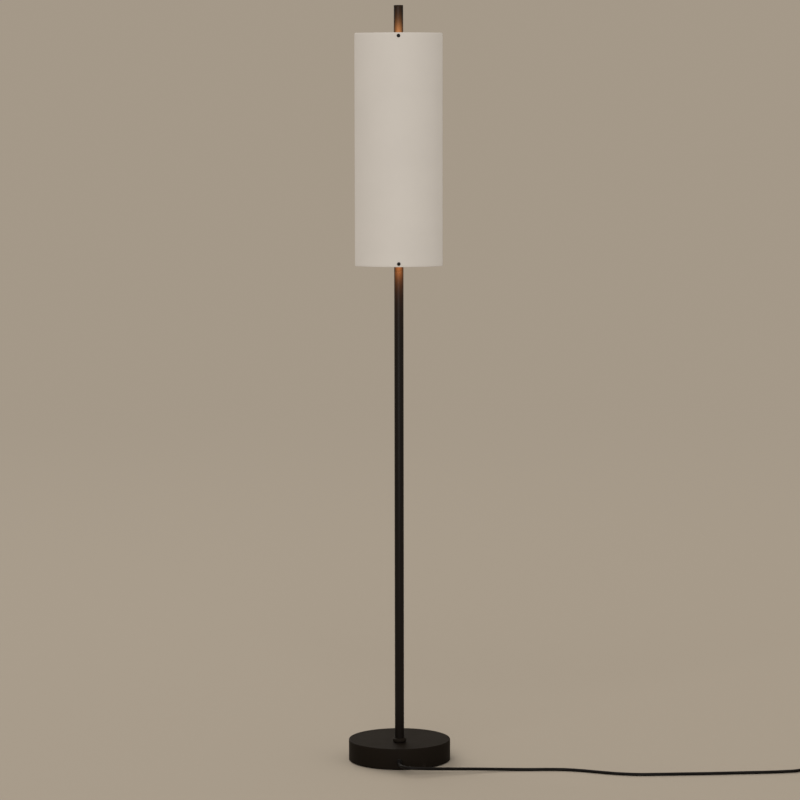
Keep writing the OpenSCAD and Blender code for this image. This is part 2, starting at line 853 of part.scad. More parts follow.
// Plug in the stem's lower end, with the hollow threaded shank that goes through the foot
module stem_foot_plug() {
  color([0.62, 0.62, 0.64])
    at_stem()
      difference() {
        union() {
          translate([0, 0, base_h])
            cylinder(d = plug_d, h = foot_plug_l);
          translate([0, 0, nut_z - shank_tail])
            cylinder(d = shank_d, h = base_h - nut_z + shank_tail + over);
        }
        translate([0, 0, nut_z - shank_tail - over])
          cylinder(d = lead_hole_d, h = base_h + foot_plug_l - nut_z + shank_tail + 2 * over);
      }
}

// Washer under the weight's roof
module stem_washer() {
  color([0.72, 0.72, 0.73])
    at_stem()
      translate([0, 0, cavity_top - washer_t])
        difference() {
          cylinder(d = washer_d, h = washer_t);
          translate([0, 0, -over])
            cylinder(d = shank_d + 2 * screw_gap, h = washer_t + 2 * over);
        }
}

// Hexagon nut with chamfered corners
module stem_nut() {
  across = nut_af / cos(30);
  color([0.72, 0.72, 0.73])
    at_stem()
      translate([0, 0, nut_z])
        difference() {
          intersection() {
            cylinder(d = across, h = nut_h, $fn = 6);
            union() {
              cylinder(d1 = nut_af, d2 = nut_af + 2 * (across - nut_af), h = across - nut_af);
              translate([0, 0, across - nut_af])
                cylinder(d = nut_af + 2 * (across - nut_af), h = nut_h);
            }
          }
          translate([0, 0, -over])
            cylinder(d = shank_d + 2 * thread_gap, h = nut_h + 2 * over);
        }
}

// A tube of the stem's section
module stem_tube(l) {
  difference() {
    cylinder(d = stem_d, h = l);
    translate([0, 0, -over])
      cylinder(d = stem_in_d, h = l + 2 * over);
  }
}

// Lower tube, from the cover to the swivel
module lower_stem() {
  color([0.07, 0.065, 0.06])
    at_stem()
      translate([0, 0, base_h])
        stem_tube(seam_z - base_h);
}

// Lead from the power supply's far end into the stem and up to the swivel
module lower_lead() {
  exit = [supply_l / 2 + supply_end_l, supply_back, mains_entry_z];
  bend_top = nut_z - shank_tail - lead_end_gap;
  bend = [for (step = lead_bend) [step.x, -stem_offset, bend_top + step.y]];
  color([0.8, 0.79, 0.76]) {
    at_stem()
      translate([0, 0, bend_top])
        cylinder(d = lead_d, h = pivot_z - bend_top);
    tube_along(
      smooth_route(concat([exit, exit + [lead_d, 0, 0]], lead_points, bend), ring_step / 3, 0),
      lead_d, cord_sides);
  }
}

// Swivel ------------------------------------------------------------------------------------

// Bearing socket in the lower tube, with a stop rib left standing in its upper chamber
module swivel_socket() {
  color([0.75, 0.62, 0.35])
    at_stem()
      translate([0, 0, socket_z])
        difference() {
          cylinder(d = plug_d, h = socket_l);
          translate([0, 0, -over])
            cylinder(d = pivot_d + 2 * running_gap, h = socket_l + 2 * over);
          translate([0, 0, socket_l - chamber_h])
            rotate([0, 0, 90 + stop_rib_angle / 2])
              rotate_extrude(angle = 360 - stop_rib_angle)
                square([chamber_d / 2, chamber_h + over]);
        }
}

// Low-friction washer between the two tubes
module friction_washer() {
  color([0.05, 0.05, 0.05])
    at_stem()
      translate([0, 0, seam_z])
        difference() {
          cylinder(d = stem_d, h = friction_t);
          translate([0, 0, -over])
            cylinder(d = pivot_d + 2 * screw_gap, h = friction_t + 2 * over);
        }
}

// Plug in the upper tube with the turning shank below it, bored for the lead
module swivel_spigot() {
  color([0.62, 0.62, 0.64])
    at_stem()
      difference() {
        union() {
          translate([0, 0, upper_stem_z])
            cylinder(d = plug_d, h = spigot_top - upper_stem_z);
          translate([0, 0, pivot_z])
            cylinder(d = pivot_d, h = upper_stem_z - pivot_z + over);
        }
        translate([0, 0, pivot_z - over])
          cylinder(d = lead_hole_d, h = spigot_top - pivot_z + 2 * over);
        // Groove of the retaining ring
        translate([0, 0, clip_z - screw_gap])
          difference() {
            cylinder(d = pivot_d + 2 * over, h = clip_t + 2 * screw_gap);
            translate([0, 0, -over])
              cylinder(d = pivot_d - 2 * clip_groove, h = clip_t + 2 * over + 2 * screw_gap);
          }
        // Thread of the lower spacer's stud
        translate([0, -stem_d / 2, low_screw_z])
          bar_y(shade_screw_d + 2 * thread_gap, stem_wall + stud_hole_depth);
        // Seat of the stop pin
        translate([0, -pivot_d / 2 - over, stop_pin_z])
          bar_y(stop_pin_d + 2 * seat_gap, (pivot_d - lead_hole_d) / 2 + 2 * over);
      }
}

// Pin that meets the stop rib at both ends of the turn
module stop_pin() {
  inner = lead_hole_d / 2 + seat_gap;
  color([0.8, 0.8, 0.8])
    at_stem()
      translate([0, -stop_pin_reach, stop_pin_z])
        bar_y(stop_pin_d, stop_pin_reach - inner);
}

// Conical spring washer that keeps the joint tight
module spring_washer() {
  inner_r = pivot_d / 2 + screw_gap;
  outer_r = clip_d / 2;
  color([0.7, 0.7, 0.72])
    at_stem()
      translate([0, 0, clip_z + clip_t])
        rotate_extrude()
          polygon([
            [inner_r, 0], [outer_r, spring_washer_rise],
            [outer_r, spring_washer_rise + spring_washer_t], [inner_r, spring_washer_t]
          ]);
}

// Open ring in the shank's groove
module retaining_ring() {
  color([0.35, 0.35, 0.37])
    at_stem()
      translate([0, 0, clip_z])
        rotate([0, 0, 90 + clip_open_angle / 2])
          rotate_extrude(angle = 360 - clip_open_angle)
            translate([pivot_d / 2 - clip_groove + seat_gap, 0])
              square([(clip_d - pivot_d) / 2 + clip_groove - seat_gap, clip_t]);
}

// Light column ------------------------------------------------------------------------------

// Upper tube with its window and the spacers' stud holes
module upper_stem() {
  color([0.07, 0.065, 0.06])
    at_stem()
      difference() {
        translate([0, 0, upper_stem_z])
          stem_tube(upper_stem_top - upper_stem_z);
        translate([-window_w / 2, -stem_d / 2 - over, window_z])
          cube([window_w, stem_d / 2 + over - diffuser_back, window_l]);
        for (z = [low_screw_z, high_screw_z])
          translate([0, -stem_d / 2 - over, z])
            bar_y(shade_screw_d + 2 * screw_gap, stem_wall + 2 * over);
      }
}

// Lead through the spigot, with its two cores laid on the circuit board's lower end
module upper_lead() {
  jacket_top = spigot_top + core_straight_l;
  core_y = -board_seat - board_t - board_wire_d / 2 - seat_gap;
  color([0.8, 0.79, 0.76])
    at_stem() {
      translate([0, 0, pivot_z])
        cylinder(d = lead_d, h = jacket_top - pivot_z);
      for (x = [-1, 1])
        tube_along([
          [x * core_side, core_start_y, jacket_top - core_straight_l],
          [x * core_side, core_start_y, jacket_top + core_straight_l],
          [x * (core_side + core_end_side) / 2, core_y * core_bend_share,
            (jacket_top + sink_z) / 2 + core_straight_l],
          [x * core_end_side, core_y, sink_z],
          [x * core_end_side, core_y, board_z + core_pad_l]
        ], board_wire_d, wire_sides);
    }
}

// Section of the heat sink: most of a round bar, with a seat and two ribs towards the front
module sink_section() {
  intersection() {
    circle(r = sink_r);
    difference() {
      translate([-stem_d, -diffuser_back])
        square([2 * stem_d, diffuser_back + stem_d]);
      translate([-board_w / 2 - board_gap, -diffuser_back - over])
        square([board_w + 2 * board_gap, rib_h + over]);
    }
  }
}

// Aluminium heat sink in the upper tube
module heat_sink() {
  color([0.78, 0.79, 0.8])
    at_stem()
      difference() {
        translate([0, 0, sink_z])
          linear_extrude(sink_top - sink_z)
            sink_section();
        translate([0, -stem_d / 2, high_screw_z])
          bar_y(shade_screw_d + 2 * thread_gap, stem_d / 2 - board_seat + stud_bite + loose_gap);
      }
}

// Circuit board in the heat sink's seat
module light_board() {
  color([0.93, 0.93, 0.9])
    at_stem()
      translate([-board_w / 2, -board_seat - board_t, board_z])
        cube([board_w, board_t, board_l]);
}

// Light chips in a row on the circuit board
module light_chips() {
  color([0.95, 0.85, 0.45])
    at_stem()
      for (k = [0 : chips_n - 1])
        translate([-chip_w / 2, -board_seat - board_t - chip_h, first_chip_z + k * chip_pitch])
          cube([chip_w, chip_h, chip_l]);
}

// Section of the diffuser: a crown flush with the tube, on a wider flange held from inside
module diffuser_section(crown) {
  difference() {
    intersection() {
      circle(r = crown ? stem_d / 2 : stem_in_d / 2 - seat_gap);
      translate([crown ? -window_w / 2 + diffuser_gap : -stem_d, -stem_d])
        square([crown ? window_w - 2 * diffuser_gap : 2 * stem_d, stem_d - diffuser_back]);
    }
    translate([-diffuser_hollow_w / 2, -stem_d / 2 + diffuser_wall])
      square([diffuser_hollow_w, stem_d / 2]);
  }
}

// Opal diffuser snapped into the window
module diffuser() {
  color([0.97, 0.93, 0.85])
    at_stem() {
      translate([0, 0, window_z + diffuser_gap])
        linear_extrude(window_l - 2 * diffuser_gap)
          diffuser_section(true);
      translate([0, 0, sink_z + diffuser_gap])
        linear_extrude(window_l + 2 * flange_over - 2 * diffuser_gap)
          diffuser_section(false);
    }
}

// Cap on the upper tube's end
module end_cap() {
  color([0.05, 0.05, 0.05])
    at_stem() {
      translate([0, 0, upper_stem_top - cap_plug_l])
        cylinder(d = plug_d, h = cap_plug_l + over);
      translate([0, 0, upper_stem_top])
        cylinder(d = stem_d, h = cap_t - cap_chamfer);
      translate([0, 0, lamp_h - cap_chamfer])
        cylinder(d1 = stem_d, d2 = stem_d - 2 * cap_chamfer, h = cap_chamfer);
    }
}

// Sheet -------------------------------------------------------------------------------------

// Moves to the centre line of the sheet's curve
module at_shade_centre() {
  at_stem()
    translate([0, shade_centre_y, 0])
      children();
}

// A spacer: saddle end on the tube, stud into what holds it, and a threaded hole in front
module spacer(z, stud_l) {
  front = shade_front - shade_t;
  difference() {
    intersection() {
      at_stem()
        translate([0, -front - over, z])
          bar_y(spacer_d, front + over);
      at_shade_centre()
        translate([0, 0, z - spacer_d])
          cylinder(r = shade_r - shade_t - seat_gap, h = 2 * spacer_d);
    }
    at_stem()
      translate([0, 0, z - spacer_d])
        cylinder(d = stem_d + 2 * seat_gap, h = 2 * spacer_d);
    at_stem()
      translate([0, -front - over, z])
        bar_y(shade_screw_d + 2 * thread_gap, spacer_thread_l + over);
  }
  at_stem()
    translate([0, -stem_d / 2 - stud_root_l, z])
      bar_y(shade_screw_d, stud_l + stud_root_l);
}

// Lower spacer, screwed into the swivel's spigot
module lower_spacer() {
  color([0.07, 0.065, 0.06])
    spacer(low_screw_z, stem_wall + stud_hole_depth - over);
}

// Upper spacer, screwed into the heat sink
module upper_spacer() {
  color([0.07, 0.065, 0.06])
    spacer(high_screw_z, stem_d / 2 - board_seat + stud_bite);
}

// Half of the sheet's outline, from its side edge inwards, with round corners at that edge
module shade_outline() {
  reach = shade_chord;
  translate([-reach, shade_z])
    square([reach - shade_corner_r, shade_h]);
  translate([-reach, shade_z + shade_corner_r])
    square([reach, shade_h - 2 * shade_corner_r]);
  for (z = [shade_z + shade_corner_r, shade_top - shade_corner_r])
    translate([-shade_corner_r, z])
      circle(r = shade_corner_r);
}

// That outline as a block, square to the sheet at its right edge
module shade_trim() {
  rotate([0, 0, shade_half_angle - 90])
    translate([-shade_r, 0, 0])
      rotate([90, 0, 90])
        linear_extrude(2 * shade_r + over)
          shade_outline();
}

// Curved sheet with round corners and a screw hole near each end
module shade() {
  color([0.93, 0.91, 0.87])
    at_shade_centre()
      difference() {
        intersection() {
          translate([0, 0, shade_z - over])
            difference() {
              cylinder(r = shade_r, h = shade_h + 2 * over);
              translate([0, 0, -over])
                cylinder(r = shade_r - shade_t, h = shade_h + 4 * over);
            }
          shade_trim();
          mirror([1, 0, 0])
            shade_trim();
        }
        for (z = [low_screw_z, high_screw_z])
          translate([0, -shade_r - over, z])
            bar_y(shade_screw_d + 2 * screw_gap, shade_t + 2 * over);
      }
}

// Round-headed screws through the sheet into the spacers
module shade_screws() {
  shank_l = shade_t + spacer_thread_l - over;
  dome_r = (shade_head_d * shade_head_d / 4 + shade_head_h * shade_head_h) / (2 * shade_head_h);
  color([0.05, 0.05, 0.05])
    for (z = [low_screw_z, high_screw_z])
      at_stem()
        translate([0, -shade_front, z])
          rotate([90, 0, 0])
            difference() {
              union() {
                translate([0, 0, -shank_l])
                  cylinder(d = shade_screw_d, h = shank_l + over);
                intersection() {
                  cylinder(d = shade_head_d, h = shade_head_h);
                  translate([0, 0, shade_head_h - dome_r])
                    sphere(r = dome_r);
                }
              }
              translate([0, 0, shade_head_h - screw_hex_depth])
                cylinder(d = screw_hex_af / cos(30), h = screw_hex_depth + over, $fn = 6);
            }
}

// Cord, foot switch, coil and plug ------------------------------------------------------------

// Free cord from the foot to the switch
module cord_run() {
  color([0.05, 0.05, 0.05])
    tube_along(smooth_route(run_points, ring_step, cord_d / 2), cord_d, cord_sides);
}

// Strain relief of the switch: tail, neck in the wall and head inside, along +X from its tip
module switch_relief() {
  color([0.05, 0.05, 0.05])
    translate([0, 0, switch_cord_z])
      rotate([0, 90, 0]) {
        cylinder(d1 = relief_tip_d, d2 = switch_relief_d, h = switch_relief_l);
        translate([0, 0, switch_relief_l - over])
          cylinder(d = switch_relief_neck_d, h = switch_wall + switch_relief_slack + 2 * over);
        translate([0, 0, switch_relief_l + switch_wall + switch_relief_slack])
          cylinder(d = switch_relief_head_d, h = switch_relief_head_l);
      }
}

// Strain relief where the cord comes in
module switch_relief_in() {
  at_switch()
    switch_relief();
}

// Strain relief where the cord goes out
module switch_relief_out() {
  at_switch()
    translate([switch_out_x, 0, 0])
      mirror([1, 0, 0])
        switch_relief();
}

// Moves to the switch's centre
module at_switch_centre() {
  at_switch()
    translate([switch_x, 0, 0])
      children();
}

// Places of the two screw posts, on a diagonal
module at_switch_posts() {
  for (side = [-1, 1])
    translate([side * switch_post_x, side * switch_post_y, 0])
      children();
}

// Outline of the switch's housing, drawn in by inset
module switch_outline(inset) {
  rounded_rect([switch_l - 2 * inset, switch_w - 2 * inset], switch_corner_r - inset);
}

// Openings for the necks and heads of the two strain reliefs
module switch_relief_seats() {
  for (side = [-1, 1])
    translate([side > 0 ? switch_l / 2 - switch_wall - over : -switch_l / 2 - over, 0, switch_cord_z])
      bar_x(switch_relief_neck_d + 2 * seat_gap, switch_wall + 2 * over);
}

// Lower half of the housing: a tray with two posts, and countersinks for the screws below
module switch_lower_shell() {
  color([0.06, 0.06, 0.06])
    at_switch_centre()
      difference() {
        union() {
          difference() {
            linear_extrude(switch_split)
              switch_outline(0);
            translate([0, 0, switch_wall])
              linear_extrude(switch_split)
                switch_outline(switch_wall);
          }
          at_switch_posts()
            cylinder(d = switch_post_d, h = switch_split);
        }
        switch_relief_seats();
        at_switch_posts() {
          translate([0, 0, -over])
            cylinder(d = switch_screw_d + 2 * screw_gap, h = switch_split + 2 * over);
          translate([0, 0, -over])
            cylinder(d = switch_head_d + 2 * screw_gap, h = switch_head_h + switch_foot_recess + over);
        }
      }
}

// Outer form of the upper half, its top edge rounded in steps
module switch_crown() {
  hull() {
    translate([0, 0, switch_split])
      linear_extrude(switch_slice)
        switch_outline(0, $fn = blend_fn);
    for (step = switch_crown_steps)
      translate([0, 0, switch_h - step[0] - switch_slice])
        linear_extrude(switch_slice)
          switch_outline(step[1], $fn = blend_fn);
  }
}

// Upper half of the housing, with the button's hole and posts that take the screws
module switch_upper_shell() {
  post_r = switch_post_d / 2;
  color([0.06, 0.06, 0.06])
    at_switch_centre()
      difference() {
        union() {
          difference() {
            switch_crown();
            translate([0, 0, switch_split - over])
              linear_extrude(button_ceiling - switch_split + over)
                switch_outline(switch_wall);
          }
          at_switch_posts()
            translate([0, 0, switch_split])
              cylinder(r = post_r, h = button_ceiling - switch_split + over);
        }
        translate([0, 0, button_ceiling - over])
          cylinder(d = button_d + 2 * button_gap, h = switch_wall + 2 * over);
        switch_relief_seats();
        at_switch_posts()
          translate([0, 0, switch_split - over])
            cylinder(d = switch_screw_d + 2 * thread_gap, h = switch_screw_bite + 2 * over);
      }
}

// Contact block on the tray's floor
module switch_contacts() {
  color([0.8, 0.78, 0.7])
    at_switch_centre()
      difference() {
        translate([0, 0, switch_wall])
          linear_extrude(contact_top - switch_wall)
            rounded_rect([contact_l, contact_w], contact_corner_r);
        // Screw terminals at both ends
        for (x = [-1, 1], y = [-1, 1])
          translate([x * (contact_l / 2 - terminal_inset), y * contact_w / 4,
            contact_top - terminal_depth])
            cylinder(d = terminal_d, h = terminal_depth + over);
      }
}

// Cores between the strain reliefs and the contact block
module switch_wires() {
  inner_x = switch_l / 2 - switch_wall - switch_relief_slack - switch_relief_head_l;
  color([0.35, 0.2, 0.12])
    at_switch_centre()
      for (x = [-inner_x, contact_l / 2], y = [-1, 1])
        translate([x, y * switch_wire_y, switch_cord_z])
          bar_x(switch_wire_d, inner_x - contact_l / 2);
}

// Return spring under the button: a wound wire with its ends laid flat
module switch_spring() {
  bottom = contact_top + spring_wire_d / 2;
  rise = button_ceiling - button_flange_t - contact_top - spring_wire_d;
  rings = 10;
  color([0.75, 0.75, 0.76])
    at_switch_centre()
      tube_along([
        for (k = [0 : spring_turns * rings])
          let (share = k / (spring_turns * rings))
          [
            spring_d / 2 * cos(360 * k / rings),
            spring_d / 2 * sin(360 * k / rings),
            bottom + rise * share
          ]
      ], spring_wire_d, coil_sides);
}

// Foot button: crowned cap, guide wall, flange that keeps it in and boss under its centre
module switch_button() {
  r = button_d / 2;
  color([0.1, 0.1, 0.1])
    at_switch_centre() {
      rotate_extrude()
        union() {
          translate([0, button_ceiling - button_flange_t])
            square([r + button_flange, button_flange_t]);
          translate([0, button_ceiling - button_flange_t])
            square([r, button_top - button_ceiling + button_flange_t - button_edge_r - button_crown]);
          translate([0, button_ceiling])
            square([r - button_edge_r, button_top - button_ceiling - button_crown]);
          translate([r - button_edge_r, button_top - button_crown - button_edge_r])
            circle(r = button_edge_r);
        }
      translate([0, 0, boss_bottom])
        cylinder(d = boss_d, h = button_ceiling - boss_bottom);
      crown_cap(r - button_edge_r);
    }
}

// Shallow dome on the button, as wide as its flat top
module crown_cap(r) {
  dome_r = (r * r + button_crown * button_crown) / (2 * button_crown);
  translate([0, 0, button_top - dome_r])
    intersection() {
      sphere(r = dome_r, $fn = dome_fn);
      translate([0, 0, dome_r - button_crown])
        cylinder(r = r, h = 2 * button_crown);
    }
}

// Screws that close the switch from below
module switch_screws() {
  color([0.7, 0.7, 0.72])
    at_switch_centre()
      at_switch_posts()
        difference() {
          union() {
            translate([0, 0, switch_foot_recess])
              cylinder(d = switch_head_d, h = switch_head_h);
            translate([0, 0, switch_foot_recess])
              cylinder(d = switch_screw_d, h = switch_split - switch_foot_recess + switch_screw_bite);
          }
          translate([0, 0, switch_foot_recess - over])
            cylinder(d = switch_head_d / 2, h = switch_head_h / 2 + over, $fn = 6);
        }
}

// Free cord from the switch to the coil
module cord_switch_tail() {
  start = [switch_axis.x + switch_out_x, switch_axis.y, switch_cord_z];
  lead_in = start + [cord_d, 0, 0];
  coil_start = [coil_centre.x - cord_d, coil_centre.y - coil_r, coil_z];
  color([0.05, 0.05, 0.05])
    tube_along(
      smooth_route(concat([start, lead_in], switch_tail_points,
        [coil_start - [cord_d, 0, 0], coil_start]), ring_step, cord_d / 2),
      cord_d, cord_sides);
}

// Radius of the coil after a number of turns: in, round the reversal, and out again
function coil_radius(turns) =
  let (u = (turns - coil_layer_turns) / 0.5)
  u < 0 ? coil_r - coil_pitch * turns
  : u <= 1 ? coil_inner_r + 0.5 * coil_pitch * (u * u - u)
  : coil_inner_r + coil_pitch * (turns - coil_layer_turns - 0.5);

// Height of the coil's axis: it climbs one layer in the half turn where the spiral reverses
function coil_height(turns) =
  let (u = min(max((turns - coil_layer_turns) / 0.5, 0), 1))
  coil_z + coil_pitch * u * u * (3 - 2 * u);

function coil_point(turns) = [
  coil_centre.x + coil_radius(turns) * cos(360 * turns - 90),
  coil_centre.y + coil_radius(turns) * sin(360 * turns - 90),
  coil_height(turns)
];

// The coil's axis, with a straight end of one diameter at both ends
function coil_route() =
  let (steps = round(coil_turns * coil_rings))
  concat(
    [coil_point(0) - [cord_d, 0, 0]],
    [for (k = [0 : steps]) coil_point(coil_turns * k / steps)],
    [coil_point(coil_turns) + [cord_d, 0, 0]]
  );

// Least gap between points of the coil that lie more than half a turn apart
function coil_least_gap(route) =
  min([
    for (i = [0 : len(route) - 1], j = [i + coil_rings / 2 : 1 : len(route) - 1])
      norm(route[j] - route[i])
  ]) - cord_d;

// Stored length of the cord, wound in two layers
module cord_coil() {
  route = coil_route();
  echo(coil_least_gap_mm = coil_least_gap(route));
  color([0.05, 0.05, 0.05])
    tube_along(route, cord_d, coil_sides);
}

// Tie round the coil's turns, at the coil's back
module coil_tie() {
  half_w = tie_w / 2;
  outer = coil_radius(0.5) + cord_d / 2 + tie_gap;
  inner_axis = coil_radius(coil_layer_turns - 0.25);
  inner = sqrt(inner_axis * inner_axis - half_w * half_w) - cord_d / 2 - tie_gap;
  height = 2 * tie_gap + cord_d + coil_pitch;
  color([0.15, 0.15, 0.16])
    translate([coil_centre.x - half_w, coil_centre.y + (outer + inner) / 2, tie_t + height / 2])
      rotate([90, 0, 90])
        linear_extrude(tie_w)
          difference() {
            rounded_rect([outer - inner + 2 * tie_t, height + 2 * tie_t], cord_d / 2);
            rounded_rect([outer - inner, height], cord_d / 2 - tie_t);
          }
}

// Free cord from the coil to the plug
module cord_plug_tail() {
  start = coil_point(coil_turns) + [cord_d, 0, 0];
  finish = [plug_start.x, plug_start.y, plug_axis_z];
  color([0.05, 0.05, 0.05])
    tube_along(
      smooth_route(concat([start, start + [cord_d, 0, 0]], plug_tail_points,
        [finish - [0, cord_d, 0], finish]), ring_step, cord_d / 2),
      cord_d, cord_sides);
}

// One slice of the plug's body across its axis
module plug_section(y, w, t) {
  translate([0, y, plug_axis_z])
    rotate([90, 0, 0])
      linear_extrude(plug_slice)
        rounded_rect([w, t], plug_edge_r, $fn = blend_fn);
}

// Moulded body: widens from its strain relief to the face, with a finger hollow on each side
module plug_body() {
  rear = plug_relief_l + plug_slice;
  face = plug_relief_l + plug_l;
  color([0.06, 0.06, 0.06])
    at_plug()
      difference() {
        union() {
          translate([0, 0, plug_axis_z])
            rotate([-90, 0, 0])
              cylinder(d1 = relief_tip_d, d2 = plug_relief_d, h = plug_relief_l + over);
          hull() {
            plug_section(rear, plug_rear_w, plug_rear_t);
            plug_section(rear + plug_shoulder, plug_w - plug_face_flare, plug_t);
            plug_section(face, plug_w, plug_t);
          }
        }
        for (side = [-1, 1])
          translate([side * (plug_w / 2 + plug_grip_r - plug_grip_depth), face - plug_grip_back, -over])
            cylinder(r = plug_grip_r, h = plug_t + 2 * over);
        for (side = [-1, 1])
          translate([side * plug_pin_pitch / 2, face - plug_shoulder, plug_axis_z])
            bar_y(plug_pin_d + 2 * seat_gap, plug_shoulder + over);
      }
}

// Places the two pins' seats in the plug's face
module at_pins() {
  at_plug()
    for (side = [-1, 1])
      translate([side * plug_pin_pitch / 2, plug_relief_l + plug_l, plug_axis_z])
        children();
}

// Round contact pins with rounded tips, thinner where the sleeves are
module plug_pins() {
  core_d = plug_pin_d - 2 * plug_sleeve_wall;
  tip_r = plug_pin_d / 2;
  color([0.8, 0.78, 0.7])
    at_pins() {
      translate([0, -plug_shoulder + over, 0])
        bar_y(core_d - 2 * seat_gap, plug_shoulder + plug_sleeve_l);
      translate([0, plug_sleeve_l, 0])
        bar_y(plug_pin_d, plug_pin_l - plug_sleeve_l - tip_r);
      translate([0, plug_pin_l - tip_r, 0])
        sphere(r = tip_r);
    }
}

// Insulating sleeves on the pins, held in the plug's face
module plug_sleeves() {
  root = 6;
  color([0.06, 0.06, 0.06])
    at_pins()
      difference() {
        translate([0, -root, 0])
          bar_y(plug_pin_d, root + plug_sleeve_l - seat_gap);
        translate([0, -root - over, 0])
          bar_y(plug_pin_d - 2 * plug_sleeve_wall, root + plug_sleeve_l + 2 * over);
      }
}

base_cover();
base_weight();
bottom_plate();
foot_ring();
plate_screws();
power_supply();
supply_screws();
cord_clamp();
clamp_screws();
cord_relief();
inner_cord();
mains_wires();
foot_collar();
stem_foot_plug();
stem_washer();
stem_nut();
lower_stem();
lower_lead();
swivel_socket();
friction_washer();
swivel_spigot();
stop_pin();
spring_washer();
retaining_ring();
upper_stem();
upper_lead();
heat_sink();
light_board();
light_chips();
diffuser();
end_cap();
lower_spacer();
upper_spacer();
shade();
shade_screws();
cord_run();
switch_relief_in();
switch_lower_shell();
switch_upper_shell();
switch_contacts();
switch_wires();
switch_spring();
switch_button();
switch_screws();
switch_relief_out();
cord_switch_tail();
cord_coil();
coil_tie();
cord_plug_tail();
plug_body();
plug_pins();
plug_sleeves();
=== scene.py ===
"""Column floor lamp: a round weighted foot, a slim two-part stem, a light strip behind a curved
sheet, and a cord with a foot switch, a tied coil and a plug."""
import json
import logging
import math
from collections.abc import Callable, Iterable, Sequence
from dataclasses import dataclass
from enum import Enum

import bmesh
import bpy
from mathutils import Matrix, Vector

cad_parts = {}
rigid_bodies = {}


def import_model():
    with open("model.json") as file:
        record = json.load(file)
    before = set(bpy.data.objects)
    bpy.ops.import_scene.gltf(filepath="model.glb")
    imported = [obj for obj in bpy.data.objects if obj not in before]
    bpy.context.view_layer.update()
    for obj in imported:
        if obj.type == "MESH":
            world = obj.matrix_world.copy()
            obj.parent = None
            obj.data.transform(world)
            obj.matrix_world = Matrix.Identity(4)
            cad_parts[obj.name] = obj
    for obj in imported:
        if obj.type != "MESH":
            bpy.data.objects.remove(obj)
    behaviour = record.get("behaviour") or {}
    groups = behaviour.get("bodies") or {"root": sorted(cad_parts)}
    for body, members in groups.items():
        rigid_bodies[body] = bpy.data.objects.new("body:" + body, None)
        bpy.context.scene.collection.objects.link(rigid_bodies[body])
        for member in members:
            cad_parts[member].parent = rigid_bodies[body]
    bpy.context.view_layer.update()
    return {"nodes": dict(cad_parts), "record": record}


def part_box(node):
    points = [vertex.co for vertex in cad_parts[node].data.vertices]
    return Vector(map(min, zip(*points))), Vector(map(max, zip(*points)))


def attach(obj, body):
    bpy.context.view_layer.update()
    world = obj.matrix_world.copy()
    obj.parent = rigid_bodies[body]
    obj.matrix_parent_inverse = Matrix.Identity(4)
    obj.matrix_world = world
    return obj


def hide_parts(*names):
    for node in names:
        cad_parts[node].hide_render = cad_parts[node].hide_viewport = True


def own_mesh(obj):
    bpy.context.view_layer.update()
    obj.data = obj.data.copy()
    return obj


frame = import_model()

MM = 0.001
FULL_TURN = 2 * math.pi
IMAGE_PIXELS = 800
NEAR = 0.1 * MM  # places that are less than this apart count as one
FACING = 0.9  # least cosine between a face's normal and the way that it faces
WELD = 0.002 * MM
FACET_ANGLE = math.radians(32)
STRAND_ANGLE = math.radians(40)
UP, FRONT, BACK = Vector((0, 0, 1)), Vector((0, -1, 0)), Vector((0, 1, 0))
UNTURNED, ALONG_X, ALONG_Y = (0.0, 0.0, 0.0), (0.0, math.pi / 2, 0.0), (math.pi / 2, 0.0, 0.0)
LOG = logging.getLogger("lamp")

Triple = tuple[float, float, float]
Colour = Triple
Outline = Sequence[tuple[float, float]]
Socket = bpy.types.NodeSocket
Test = Callable[[Vector, Vector], bool]


def linear(colour: Colour) -> tuple[float, float, float, float]:
    """Returns a display colour (0 to 1) as the linear colour that a shader takes."""
    channels = [c / 12.92 if c <= 0.04045 else ((c + 0.055) / 1.055) ** 2.4 for c in colour]
    return (*channels, 1.0)


def arc(centre: tuple[float, float], radii: tuple[float, float],
        angles: Iterable[int]) -> list[tuple[float, float]]:
    """Works out an outline's corners on an ellipse.

    Args:
        centre: The ellipse's centre: distance from the axis, and place along it.
        radii: Its radii in those two directions.
        angles: The angles of the corners, in degrees.

    Returns:
        The corners.
    """
    turns = [math.radians(angle) for angle in angles]
    return [(centre[0] + radii[0] * math.cos(t), centre[1] + radii[1] * math.sin(t))
            for t in turns]


class Box:
    """Lowest and highest corner of a node of the frame, with its size and centre."""

    def __init__(self, node: str) -> None:
        """Reads the corners of one node.

        Args:
            node: The node's name.
        """
        self.lo, self.hi = (Vector(corner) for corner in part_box(node))
        self.size = self.hi - self.lo
        self.centre = (self.hi + self.lo) / 2


# --- Camera and studio ---


